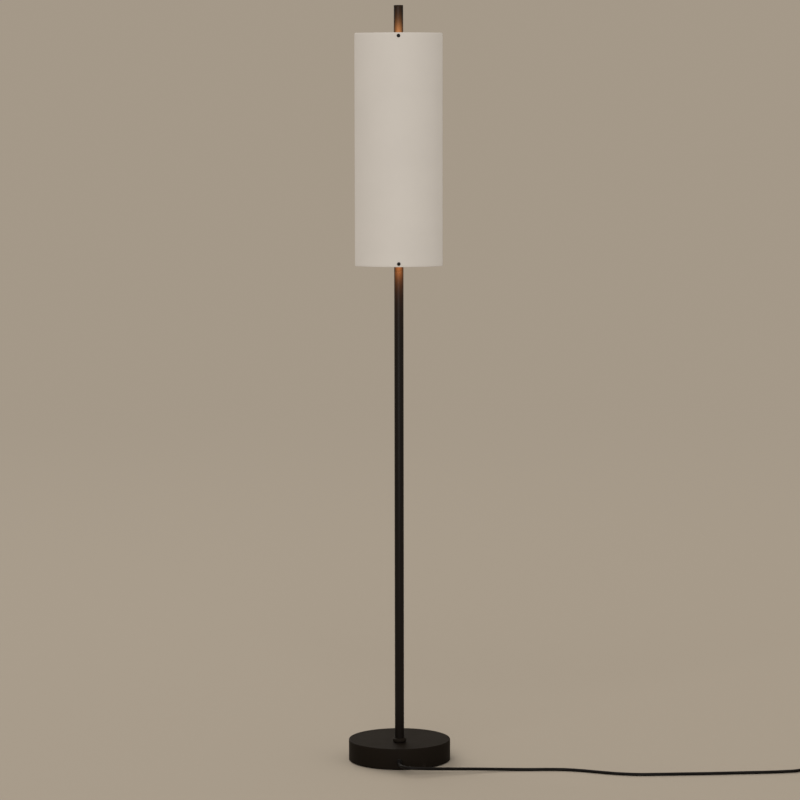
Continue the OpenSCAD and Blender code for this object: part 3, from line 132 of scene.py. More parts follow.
@dataclass
class PhotoCamera:
    """The camera, at the place and angle from which the photograph was taken."""

    place: Triple = (0.0028, -5.7768, 1.2777)
    pitch_down: float = math.radians(5.576)
    yaw: float = math.radians(-0.009)
    roll: float = math.radians(-0.084)
    focal_pixels: float = 2971.0
    sensor_mm: float = 36.0
    reach: float = 200.0

    def build(self) -> None:
        """Makes the camera and gives it to the scene."""
        forward = Vector((math.sin(self.yaw) * math.cos(self.pitch_down),
                          math.cos(self.yaw) * math.cos(self.pitch_down),
                          -math.sin(self.pitch_down)))
        level = Vector((math.cos(self.yaw), -math.sin(self.yaw), 0))
        upright = level.cross(forward)
        right = math.cos(self.roll) * level + math.sin(self.roll) * upright
        up = math.cos(self.roll) * upright - math.sin(self.roll) * level
        data = bpy.data.cameras.new("photo_camera")
        data.sensor_width = self.sensor_mm
        data.lens = self.focal_pixels / IMAGE_PIXELS * self.sensor_mm
        data.clip_end = self.reach
        camera = bpy.data.objects.new("photo_camera", data)
        turn = Matrix((right, up, -forward)).transposed()
        camera.matrix_world = Matrix.Translation(self.place) @ turn.to_4x4()
        bpy.context.scene.collection.objects.link(camera)
        bpy.context.scene.camera = camera
        LOG.info("camera: %.1f mm lens", data.lens)


@dataclass(frozen=True)
class StudioLamp:
    """A distant soft lamp, whose light is the same all over the floor.

    Its side is the direction from the object to it. Its width, the angle in degrees that it
    fills, sets how soft its shadows are.
    """

    name: str
    side: Triple
    strength: float
    width: float
    colour: Colour
    distance: float = 3.0

    def hang(self) -> None:
        """Adds the lamp to the scene."""
        side = Vector(self.side)
        data = bpy.data.lights.new(self.name, "SUN")
        data.energy, data.angle, data.color = self.strength, math.radians(self.width), self.colour
        lamp = bpy.data.objects.new(self.name, data)
        lamp.location = self.distance * side
        lamp.rotation_euler = side.to_track_quat("Z", "Y").to_euler()
        bpy.context.scene.collection.objects.link(lamp)


@dataclass
class Studio:
    """Pale floor that fades into a plain backdrop, soft lamps, and an even world light."""

    floor_colour: Colour = (0.642, 0.596, 0.533)
    backdrop_colour: Colour = (0.645, 0.598, 0.535)
    world_colour: Colour = (1.0, 0.985, 0.965)
    world_light: float = 0.46
    fade_start: float = 1.2
    fade_end: float = 7.0
    half_width: float = 60.0
    grain_scale: float = 900.0
    grain_height: float = 0.05
    grain_strength: float = 0.4
    lamps: tuple[StudioLamp, ...] = (
        StudioLamp("key_lamp", (-0.22, -1.0, 0.72), 1.34, 40.0, (1.0, 0.985, 0.965)),
        StudioLamp("front_lamp", (-0.02, -1.0, 0.03), 0.75, 22.0, (0.94, 0.97, 1.0)),
        StudioLamp("fill_lamp", (0.9, -0.5, 0.5), 0.22, 60.0, (0.98, 0.99, 1.0)),
        StudioLamp("rear_lamp", (-0.60, 1.0, 0.85), 1.30, 50.0, (1.0, 0.965, 0.91)))

    def build(self) -> None:
        """Makes the floor, the world and the lamps."""
        self.lay_floor()
        self.light_world()
        for lamp in self.lamps:
            lamp.hang()
        LOG.info("studio: floor, world light and %d lamps", len(self.lamps))

    def lay_floor(self) -> None:
        """Makes the floor, whose own light takes over from the lamps' away from the object."""
        bench = Workpiece("floor")
        bpy.ops.mesh.primitive_circle_add(vertices=96, radius=self.half_width, fill_type="NGON")
        bench.inset(self.half_width - self.fade_end)
        floor = bench.leave()
        board = PaintBoard("floor_paper")
        distance = board.add("ShaderNodeVectorMath", {0: board.coords}, operation="LENGTH")
        fade = board.ramp(distance.outputs["Value"], self.fade_start, self.fade_end)
        grain = board.add("ShaderNodeTexNoise", {"Vector": board.coords,
                                                 "Scale": self.grain_scale})
        board.raise_by(grain.outputs["Fac"], self.grain_height, self.grain_strength)
        board.set_shader({"Base Color": linear(self.floor_colour), "Roughness": 0.85,
                          "Specular IOR Level": 0.25})
        far = board.add("ShaderNodeEmission", {"Color": linear(self.backdrop_colour),
                                               "Strength": 1.0})
        mix = board.add("ShaderNodeMixShader", {"Fac": fade, 1: board.shader.outputs["BSDF"],
                                                2: far.outputs["Emission"]})
        floor.data.materials.append(board.finish(mix.outputs["Shader"]))

    def light_world(self) -> None:
        """Gives the world an even light, and the backdrop's colour where it is looked at."""
        world = bpy.data.worlds.new("studio_world")
        world.use_nodes = True
        bpy.context.scene.world = world
        board = NodeBoard(world.node_tree)
        rays = board.add("ShaderNodeLightPath", {}).outputs
        mirrored = board.calc("MAXIMUM", rays["Is Glossy Ray"], rays["Is Transmission Ray"])
        seen = board.calc("MAXIMUM", rays["Is Camera Ray"], mirrored)
        light = board.add("ShaderNodeBackground", {"Color": (*self.world_colour, 1.0),
                                                   "Strength": self.world_light})
        backdrop = board.add("ShaderNodeBackground", {"Color": linear(self.backdrop_colour)})
        mix = board.add("ShaderNodeMixShader", {"Fac": seen, 1: light.outputs["Background"],
                                                2: backdrop.outputs["Background"]})
        board.add("ShaderNodeOutputWorld", {"Surface": mix.outputs["Shader"]})


# --- Finishes ---


class NodeBoard:
    """A node tree, with short calls that add and join its nodes."""

    def __init__(self, tree: bpy.types.NodeTree) -> None:
        """Takes a tree and clears it."""
        self.tree = tree
        tree.nodes.clear()

    def add(self, kind: str, inputs: dict, **settings: object) -> bpy.types.Node:
        """Adds a node.

        Args:
            kind: Blender's name of the node.
            inputs: Values for its inputs, by name or number; a socket is linked.
            settings: Its other settings.

        Returns:
            The node.
        """
        node = self.tree.nodes.new(kind)
        for key, value in settings.items():
            setattr(node, key, value)
        for key, value in inputs.items():
            if isinstance(value, Socket):
                self.tree.links.new(value, node.inputs[key])
            else:
                node.inputs[key].default_value = value
        return node

    def calc(self, operation: str, first: object, second: object = 0.5) -> Socket:
        """Reckons with one or two values and returns the result's socket."""
        return self.add("ShaderNodeMath", {0: first, 1: second}, operation=operation).outputs[0]


class PaintBoard(NodeBoard):
    """The node tree of one material, whose patterns read the object's own coordinates."""

    def __init__(self, name: str) -> None:
        """Starts a material with its shader.

        Args:
            name: The material's name.
        """
        self.material = bpy.data.materials.new(name)
        self.material.use_nodes = True
        super().__init__(self.material.node_tree)
        self.shader = self.add("ShaderNodeBsdfPrincipled", {})
        self.coords = self.add("ShaderNodeTexCoord", {}).outputs["Object"]

    def ramp(self, value: Socket, low: float, high: float, to_low: float = 0.0,
             to_high: float = 1.0) -> Socket:
        """Maps a span of values smoothly to another.

        Args:
            value: The value that is mapped.
            low: The span's low end.
            high: Its high end.
            to_low: What the low end becomes.
            to_high: What the high end becomes.

        Returns:
            The result's socket.
        """
        node = self.add("ShaderNodeMapRange", {"Value": value, "From Min": low, "From Max": high,
                                               "To Min": to_low, "To Max": to_high},
                        interpolation_type="SMOOTHSTEP")
        return node.outputs["Result"]

    def noise(self, size: float, detail: float = 2.0, stretch: Triple = (1, 1, 1)) -> Socket:
        """Adds a noise pattern.

        Args:
            size: About how long its blobs are, in millimetres.
            detail: How much finer detail it has.
            stretch: Scale along each axis; a small one draws the blobs out.

        Returns:
            The pattern's socket.
        """
        place = self.add("ShaderNodeMapping", {"Vector": self.coords, "Scale": stretch})
        node = self.add("ShaderNodeTexNoise", {"Vector": place.outputs["Vector"],
                                               "Scale": 1.0 / (size * MM), "Detail": detail})
        return node.outputs["Fac"]

    def mix(self, share: Socket, first: object, second: object) -> Socket:
        """Mixes two colours and returns the result's socket."""
        return self.add("ShaderNodeMix", {0: share, 6: first, 7: second},
                        data_type="RGBA").outputs[2]

    def raise_by(self, pattern: Socket, height: float, strength: float) -> None:
        """Raises the surface by a pattern.

        Args:
            pattern: The pattern's socket.
            height: Height of the pattern, in millimetres.
            strength: How strongly it shows.
        """
        bump = self.add("ShaderNodeBump", {"Height": pattern, "Distance": height * MM,
                                           "Strength": strength})
        self.feed("Normal", bump.outputs["Normal"])

    def feed(self, key: str, source: Socket) -> None:
        """Links a pattern to one of the shader's inputs."""
        self.tree.links.new(source, self.shader.inputs[key])

    def set_shader(self, values: dict[str, object]) -> None:
        """Sets the shader's own values, which are the same all over."""
        for key, value in values.items():
            self.shader.inputs[key].default_value = value

    def finish(self, surface: Socket | None = None) -> bpy.types.Material:
        """Closes the tree with its output and returns the material."""
        self.add("ShaderNodeOutputMaterial", {"Surface": surface or self.shader.outputs["BSDF"]})
        return self.material


# Spans of a noise pattern over which clouds and worn patches fade in.
CLOUDED, PATCHED = (0.3, 0.7), (0.42, 0.66)


@dataclass(frozen=True)
class Finish:
    """A surface finish: its colour, gloss, clouding, fine grain and worn edges.

    Its sizes and heights are in millimetres.
    """

    colour: Colour
    roughness: float = 0.5
    metallic: float = 0.0
    specular: float = 0.5
    clouding: float = 0.08
    cloud_size: float = 30
    gloss_spread: float = 0.07
    smear_size: float = 12
    grain_size: float = 0.8
    grain_height: float = 0.008
    grain_strength: float = 0.5
    stretch: Triple = (1, 1, 1)
    wear: float = 0.0
    worn_colour: Colour = (0.3, 0.28, 0.26)
    worn_edge: tuple[float, float] = (0.56, 0.64)
    worn_patch: float = 4

    def material(self, name: str) -> bpy.types.Material:
        """Builds the finish's material.

        Args:
            name: The material's name.

        Returns:
            The material.
        """
        board = PaintBoard(name)
        self.paint(board)
        self.texture(board)
        board.set_shader({"Metallic": self.metallic, "Specular IOR Level": self.specular})
        return board.finish()

    def paint(self, board: PaintBoard) -> None:
        """Lays the clouded colour, worn paler on the edges, and the uneven gloss.

        Args:
            board: The material's board.
        """
        cloud = board.ramp(board.noise(self.cloud_size, 3.0, self.stretch), *CLOUDED)
        dark = linear(tuple(c * (1 - self.clouding) for c in self.colour))
        pale = linear(tuple(min(1.0, c * (1 + self.clouding)) for c in self.colour))
        colour = board.mix(cloud, dark, pale)
        smear = board.noise(self.smear_size, 4.0, self.stretch)
        gloss = board.ramp(smear, *CLOUDED, self.roughness - self.gloss_spread,
                           self.roughness + self.gloss_spread)
        if self.wear:
            form = board.add("ShaderNodeNewGeometry", {}).outputs["Pointiness"]
            edge = board.ramp(form, *self.worn_edge)
            patches = board.ramp(board.noise(self.worn_patch, 4.0), *PATCHED)
            share = board.calc("MULTIPLY", board.calc("MULTIPLY", edge, patches), self.wear)
            colour = board.mix(share, colour, linear(self.worn_colour))
        board.feed("Base Color", colour)
        board.feed("Roughness", gloss)

    def texture(self, board: PaintBoard) -> None:
        """Raises the fine grain.

        Args:
            board: The material's board.
        """
        board.raise_by(board.noise(self.grain_size, 2.0, self.stretch), self.grain_height,
                       self.grain_strength)


@dataclass(frozen=True)
class Metal(Finish):
    """Bare metal, with small clouds and fine tool marks."""

    metallic: float = 1.0
    clouding: float = 0.10
    cloud_size: float = 4
    gloss_spread: float = 0.08
    smear_size: float = 3
    grain_size: float = 0.3
    grain_height: float = 0.005


@dataclass(frozen=True)
class LitFinish(Finish):
    """A finish that also gives light, a little brighter over each chip behind it."""

    light: Colour = (1.0, 0.80, 0.56)
    strength: float = 0.85
    pitch: float = 10
    dimple: float = 0.10

    def paint(self, board: PaintBoard) -> None:
        """Adds the light's colour to the plain paint.

        Args:
            board: The material's board.
        """
        super().paint(board)
        height = board.add("ShaderNodeSeparateXYZ", {0: board.coords}).outputs["Z"]
        wave = board.calc("COSINE", board.calc("MULTIPLY", height, FULL_TURN / (self.pitch * MM)))
        dim = tuple(c * (1 - self.dimple) for c in linear(self.light)[:3])
        board.feed("Emission Color", board.mix(board.ramp(wave, -1.0, 1.0), (*dim, 1.0),
                                               linear(self.light)))
        board.set_shader({"Emission Strength": self.strength})


@dataclass(frozen=True)
class WovenFinish(Finish):
    """A strap's finish, with a fine square weave."""

    thread: float = 0.7
    weave_height: float = 0.08
    weave_strength: float = 0.6

    def texture(self, board: PaintBoard) -> None:
        """Raises the weave.

        Args:
            board: The material's board.
        """
        parts = board.add("ShaderNodeSeparateXYZ", {0: board.coords}).outputs
        x, y, z = (board.calc("SINE", board.calc("MULTIPLY", part, FULL_TURN / (self.thread * MM)))
                   for part in parts)
        weave = board.calc("ADD", board.calc("MULTIPLY", x, y), board.calc("MULTIPLY", y, z))
        board.raise_by(weave, self.weave_height, self.weave_strength)


DRAWN = (1.0, 1.0, 0.03)
FINISHES: dict[str, Finish] = {
    "foot_paint": Finish(
        (0.100, 0.082, 0.064), 0.54, specular=0.02, clouding=0.02, cloud_size=70,
        gloss_spread=0.02, smear_size=60, grain_size=0.9, grain_height=0.010,
        wear=0.35, worn_colour=(0.22, 0.20, 0.185)),
    "stem_paint": Finish(
        (0.082, 0.066, 0.054), 0.43, specular=0.12, clouding=0.02, cloud_size=80,
        gloss_spread=0.015, smear_size=70, grain_size=0.9, grain_height=0.006,
        wear=0.30, worn_colour=(0.22, 0.20, 0.185)),
    "sheet_paint": Finish(
        (0.788, 0.762, 0.729), 0.60, specular=0.25, clouding=0.006, cloud_size=90,
        gloss_spread=0.03, smear_size=60, grain_size=0.9, grain_height=0.012),
    "cast_iron": Finish(
        (0.25, 0.25, 0.26), 0.7, metallic=0.6, clouding=0.25, cloud_size=14,
        gloss_spread=0.12, smear_size=6, grain_size=1.6, grain_height=0.15),
    "plate_steel": Finish((0.11, 0.11, 0.115), clouding=0.12, grain_height=0.012, wear=0.3),
    "foot_rubber": Finish(
        (0.085, 0.083, 0.08), 0.86, specular=0.3, clouding=0.15, cloud_size=10,
        grain_size=0.5, grain_height=0.03),
    "zinc_steel": Metal((0.66, 0.66, 0.68), 0.34, cloud_size=5, gloss_spread=0.1,
                        grain_size=0.4, grain_height=0.004),
    "supply_plastic": Finish((0.82, 0.82, 0.80), clouding=0.03, grain_height=0.02),
    "clamp_plastic": Finish((0.62, 0.61, 0.58), 0.55, clouding=0.05, grain_height=0.02),
    "cord_sheath": Finish(
        (0.050, 0.039, 0.032), 0.48, specular=0.10, clouding=0.12, cloud_size=18,
        gloss_spread=0.08, smear_size=25, grain_size=0.35, grain_height=0.012),
    "cord_moulding": Finish(
        (0.054, 0.044, 0.037), 0.55, specular=0.10, clouding=0.10, cloud_size=9,
        grain_size=0.3, grain_height=0.02, wear=0.25, worn_colour=(0.15, 0.14, 0.13)),
    "core_insulation": Finish((0.30, 0.17, 0.11), 0.4, clouding=0.05),
    "lead_sheath": Finish((0.74, 0.73, 0.70), 0.45, clouding=0.04),
    "machined_steel": Metal((0.58, 0.58, 0.60), 0.3, clouding=0.08),
    "bearing_brass": Metal((0.76, 0.60, 0.32), 0.32, cloud_size=6),
    "black_nylon": Finish(
        (0.076, 0.068, 0.060), 0.46, specular=0.12, clouding=0.10, cloud_size=6,
        grain_size=0.35, grain_height=0.012, wear=0.25, worn_colour=(0.17, 0.16, 0.15)),
    "spring_steel": Metal((0.46, 0.46, 0.48), 0.3, smear_size=2, grain_size=0.2,
                          grain_height=0.003),
    "sink_aluminium": Metal(
        (0.78, 0.79, 0.81), 0.36, clouding=0.05, cloud_size=3, gloss_spread=0.1,
        smear_size=1.5, grain_size=0.25, grain_height=0.006, stretch=DRAWN),
    "board_white": Finish((0.90, 0.90, 0.87), 0.4, clouding=0.03),
    "chip_yellow": LitFinish((0.92, 0.78, 0.36), 0.35, clouding=0.03, strength=0.6),
    "opal_diffuser": LitFinish((0.93, 0.88, 0.78), 0.45, clouding=0.02, grain_height=0.006),
    "black_screw": Finish(
        (0.040, 0.036, 0.032), 0.38, specular=0.12, clouding=0.12, cloud_size=2,
        gloss_spread=0.08, smear_size=1, grain_size=0.15, grain_height=0.004,
        wear=0.25, worn_colour=(0.16, 0.15, 0.14)),
    "switch_plastic": Finish(
        (0.076, 0.073, 0.072), specular=0.25, cloud_size=15, grain_size=0.45,
        grain_height=0.03, wear=0.3, worn_colour=(0.17, 0.165, 0.16)),
    "button_plastic": Finish(
        (0.082, 0.079, 0.078), 0.3, specular=0.35, clouding=0.06, cloud_size=8,
        gloss_spread=0.1, smear_size=7, grain_size=0.5, grain_height=0.006,
        wear=0.3, worn_colour=(0.16, 0.155, 0.15)),
    "contact_plastic": Finish((0.74, 0.72, 0.64), clouding=0.04),
    "pin_metal": Metal((0.80, 0.785, 0.75), 0.22, clouding=0.05, gloss_spread=0.07,
                       smear_size=2, grain_size=0.2, grain_height=0.003),
    "strap": WovenFinish((0.105, 0.102, 0.10), 0.75, specular=0.3, clouding=0.12,
                         cloud_size=4),
}
SLOT_OF_NODE: dict[str, str] = {
    row["node"]: row["material_slot"] for row in frame["record"]["subparts"]}
_materials: dict[str, bpy.types.Material] = {}


def material_of(finish: str) -> bpy.types.Material:
    """Builds the material of a finish, or takes it where it is there already.

    Args:
        finish: The finish's name.

    Returns:
        The material.
    """
    if finish not in _materials:
        _materials[finish] = FINISHES[finish].material(finish)
    return _materials[finish]


def dress_frame() -> None:
    """Gives every node of the frame the finish of its material slot."""
    for node, slot in SLOT_OF_NODE.items():
        frame["nodes"][node].material_slots[0].material = material_of(slot)
    LOG.info("frame: %d nodes dressed", len(SLOT_OF_NODE))


# --- The bench ---


def take_up(piece: bpy.types.Object) -> None:
    """Makes a piece the active one and the only selected one, in object mode.

    Args:
        piece: The piece.
    """
    if bpy.context.mode != "OBJECT":
        bpy.ops.object.mode_set(mode="OBJECT")
    bpy.ops.object.select_all(action="DESELECT")
    bpy.context.view_layer.objects.active = piece
    piece.select_set(True)


def place_on_body(piece: bpy.types.Object, node: str) -> None:
    """Gives a piece the body of a node."""
    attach(piece, frame["nodes"][node].parent.name.removeprefix("body:"))


def copy_of(first: bpy.types.Object, name: str, node: str, move: Triple) -> bpy.types.Object:
    """Copies a piece, with a mesh of its own.

    Args:
        first: The piece.
        name: The copy's name.
        node: The node whose body and slot it gets.
        move: How far the copy lies from the piece.

    Returns:
        The copy.
    """
    copy = bpy.data.objects.new(name, first.data.copy())
    bpy.context.scene.collection.objects.link(copy)
    copy.data.transform(Matrix.Translation(move))
    place_on_body(copy, node)
    LOG.info("%s: copied from %s", name, first.name)
    return copy


class Pick(Enum):
    """What a choice on a mesh is made among, as Blender's select mode."""

    VERTS = (True, False, False)
    EDGES = (False, True, False)
    FACES = (False, False, True)


class Workpiece:
    """One mesh at the origin, open in edit mode, that is shaped by operators and then dressed."""

    def __init__(self, name: str, curve: bpy.types.Curve | None = None) -> None:
        """Puts a new mesh on the bench.

        Args:
            name: The piece's name.
            curve: A curve that is made into its mesh; without one, the mesh is empty.
        """
        self.obj = bpy.data.objects.new(name, curve or bpy.data.meshes.new(name))
        bpy.context.scene.collection.objects.link(self.obj)
        take_up(self.obj)
        if curve:
            bpy.ops.object.convert(target="MESH")
        bpy.ops.object.mode_set(mode="EDIT")

    def pick(self, kind: Pick, test: Test = lambda place, normal: True) -> None:
        """Selects what passes a test, and nothing else.

        Args:
            kind: What is chosen among.
            test: Takes the place of a vertex, or the middle of an edge or face, and the normal
                (for an edge, its direction).
        """
        bpy.context.tool_settings.mesh_select_mode = kind.value
        bpy.ops.mesh.select_all(action="DESELECT")
        mesh = bmesh.from_edit_mesh(self.obj.data)
        mesh.normal_update()
        if kind is Pick.VERTS:
            found = [v for v in mesh.verts if test(v.co, v.normal)]
        elif kind is Pick.FACES:
            found = [f for f in mesh.faces if test(f.calc_center_median(), f.normal)]
        else:
            found = [e for e in mesh.edges
                     if test((e.verts[0].co + e.verts[1].co) / 2,
                             (e.verts[1].co - e.verts[0].co).normalized())]
        for item in found:
            item.select_set(True)
        mesh.select_flush_mode()
        bmesh.update_edit_mesh(self.obj.data)

    def pick_all(self) -> None:
        """Selects the whole mesh."""
        bpy.ops.mesh.select_all(action="SELECT")

    def extrude(self, move: Sequence[float]) -> None:
        """Extrudes what is selected by a move."""
        bpy.ops.mesh.extrude_region_move(TRANSFORM_OT_translate={"value": tuple(move)})

    def inset(self, width: float) -> None:
        """Insets the selected faces."""
        bpy.ops.mesh.inset(thickness=width)

    def bevel(self, width: float, segments: int, corners: bool = False) -> None:
        """Rounds the selected edges, or the selected corners of a flat piece."""
        bpy.ops.mesh.bevel(offset=width, segments=segments, clamp_overlap=True,
                           affect="VERTICES" if corners else "EDGES")

    def soften(self, width: float, angle: float = 60.0, segments: int = 2) -> None:
        """Rounds every edge that is sharper than an angle.

        Args:
            width: Width of the rounding.
            angle: The angle in degrees.
            segments: How many flats make the rounding.
        """
        self.close_seams()
        bpy.context.tool_settings.mesh_select_mode = Pick.EDGES.value
        bpy.ops.mesh.select_all(action="DESELECT")
        bpy.ops.mesh.edges_select_sharp(sharpness=math.radians(angle))
        self.bevel(width, segments)

    def resize(self, factors: Sequence[float], centre: Vector) -> None:
        """Scales what is selected about a centre."""
        bpy.ops.transform.resize(value=tuple(factors), center_override=tuple(centre))

    def lay_plate(self, centre: Vector, sides: Triple, corner: float, segments: int,
                  turn: Triple = UNTURNED) -> None:
        """Lays a flat plate with round corners, and leaves its face selected.

        Args:
            centre: Its middle.
            sides: Its length along each axis, and 1 along the one that it faces.
            corner: Radius of its corners.
            segments: How many flats make a corner.
            turn: How it is turned from lying level.
        """
        bpy.ops.mesh.primitive_plane_add(size=1.0, location=centre, rotation=turn)
        self.pick_all()
        self.resize(sides, centre)
        self.pick(Pick.VERTS)
        self.bevel(corner, segments, corners=True)
        self.pick(Pick.FACES)

    def chain(self, points: Sequence[Vector]) -> None:
        """Draws a line through points, one vertex at a time, from a plane shrunk to the first.

        Args:
            points: The points, in order.
        """
        bpy.context.tool_settings.mesh_select_mode = Pick.VERTS.value
        bpy.ops.mesh.primitive_plane_add(size=MM, location=points[0])
        bpy.ops.mesh.merge(type="CENTER")
        for start, end in zip(points, points[1:]):
            self.extrude(end - start)

    def spin(self, centre: Vector, axis: Vector, steps: int, angle: float = FULL_TURN) -> None:
        """Turns the whole line about an axis into a surface.

        Args:
            centre: A point on the axis.
            axis: The axis, as a unit vector.
            steps: How many flats make the turn.
            angle: How far it turns; clockwise, with the axis towards the viewer.
        """
        self.pick_all()
        bpy.ops.mesh.spin(steps=steps, angle=angle, center=tuple(centre), axis=tuple(axis))
        self.close_seams()

    def turned(self, outline: Outline, centre: Vector, axis: Vector = UP,
               steps: int = 96) -> "Workpiece":
        """Turns an outline about an axis, as on a lathe.

        Args:
            outline: Distance from the axis and place along it of each corner.
            centre: Where the outline's zero lies on the axis.
            axis: The axis, as a unit vector.
            steps: How many flats make the round.

        Returns:
            The workpiece itself.
        """
        side = UP if abs(axis.z) < 0.5 else Vector((1, 0, 0))
        self.chain([centre + side * r + axis * h for r, h in outline])
        self.spin(centre, axis, steps)
        return self

    def close_seams(self) -> None:
        """Merges doubles and turns the faces outwards."""
        self.pick_all()
        bpy.ops.mesh.remove_doubles(threshold=WELD)
        bpy.ops.mesh.normals_make_consistent(inside=False)

    def face_away(self, middle: Vector) -> None:
        """Turns an open shell's faces away from a point inside it.

        Args:
            middle: The point.
        """
        mesh = bmesh.from_edit_mesh(self.obj.data)
        mesh.normal_update()
        outward = sum(face.normal.dot(face.calc_center_median() - middle) * face.calc_area()
                      for face in mesh.faces)
        if outward < 0:
            self.pick_all()
            bpy.ops.mesh.flip_normals()

    def modify(self, kind: str, **settings: object) -> None:
        """Applies a modifier to the piece.

        Args:
            kind: The modifier's type.
            settings: Its settings.
        """
        take_up(self.obj)
        bpy.ops.object.modifier_add(type=kind)
        modifier = self.obj.modifiers[-1]
        for key, value in settings.items():
            setattr(modifier, key, value)
        bpy.ops.object.modifier_apply(modifier=modifier.name)
        bpy.ops.object.mode_set(mode="EDIT")

    def thicken(self, wall: float, **settings: object) -> None:
        """Gives an open shell a wall on its inner side."""
        self.modify("SOLIDIFY", thickness=wall, offset=-1.0, **settings)

    def cut(self, cutter: "Workpiece") -> None:
        """Takes another workpiece's volume out of this one, and scraps that piece.

        Args:
            cutter: The other workpiece.
        """
        tool = cutter.leave()
        self.modify("BOOLEAN", operation="DIFFERENCE", solver="EXACT", object=tool)
        bpy.data.objects.remove(tool)

    def drill(self, radius: float, depth: float, centre: Sequence[float],
              turn: Triple = UNTURNED, sides: int = 48) -> None:
        """Takes a round or many-sided hole out of the piece.

        Args:
            radius: The hole's radius, out to its corners.
            depth: Its length, half on each side of its centre.
            centre: Its centre.
            turn: How it is turned from standing upright.
            sides: How many flats it has.
        """
        cutter = Workpiece("hole_cutter")
        bpy.ops.mesh.primitive_cylinder_add(vertices=sides, radius=radius, depth=depth,
                                            location=tuple(centre), rotation=turn)
        self.cut(cutter)

    def leave(self) -> bpy.types.Object:
        """Takes the piece off the bench and returns its object."""
        take_up(self.obj)
        return self.obj

    def dress(self, *nodes: str, finish: str | None = None,
              angle: float = FACET_ANGLE) -> bpy.types.Object:
        """Shades the piece smooth, and lets it stand for nodes of the frame.

        Args:
            nodes: The nodes; the piece gets the first one's body and slot.
            finish: Its finish, where that isn't the first node's own.
            angle: Greatest angle between two faces that shade as one.

        Returns:
            The finished object.
        """
        piece = self.leave()
        bpy.ops.object.shade_smooth_by_angle(angle=angle)
        piece.data.materials.append(material_of(finish or SLOT_OF_NODE[nodes[0]]))
        place_on_body(piece, nodes[0])
        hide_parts(*nodes)
        LOG.info("%s: made, for %s", piece.name, ", ".join(nodes))
        return piece


# --- Cords ---


def smooth_route(points: Sequence[Triple], step: float) -> list[Vector]:
    """Runs a smooth curve through points.

    Args:
        points: The points in order, in millimetres.
        step: Greatest distance between the curve's own points, in metres.

    Returns:
        The curve's points, in metres.
    """
    places = [Vector(point) * MM for point in points]
    route: list[Vector] = []
    last = len(places) - 1
    for i in range(last):
        a, b = places[max(i - 1, 0)], places[i]
        c, d = places[i + 1], places[min(i + 2, last)]
        steps = max(1, math.ceil((c - b).length / step))
        for k in range(steps):
            t = k / steps
            route.append(0.5 * (2 * b + (c - a) * t + (2 * a - 5 * b + 4 * c - d) * t * t
                                + (3 * b - a - 3 * c + d) * t ** 3))
    return [*route, places[last]]


def route_length(route: Sequence[Vector]) -> float:
    """Returns the length of a line through points."""
    return sum((b - a).length for a, b in zip(route, route[1:]))


def draw_strand(name: str, route: Sequence[Vector], diameter: float, fineness: int) -> Workpiece:
    """Draws a round strand along a route, as one closed mesh.

    Args:
        name: The piece's name.
        route: The strand's centre line.
        diameter: Its diameter.
        fineness: How finely a quarter of its round is divided.

    Returns:
        The workpiece.
    """
    curve = bpy.data.curves.new(name, "CURVE")
    curve.dimensions = "3D"
    curve.bevel_depth = diameter / 2
    curve.bevel_resolution = fineness
    curve.use_fill_caps = True
    spline = curve.splines.new("POLY")
    spline.points.add(len(route) - 1)
    for point, place in zip(spline.points, route):
        point.co = (*place, 1.0)
    spline.use_smooth = True
    bench = Workpiece(name, curve)
    bench.close_seams()
    return bench


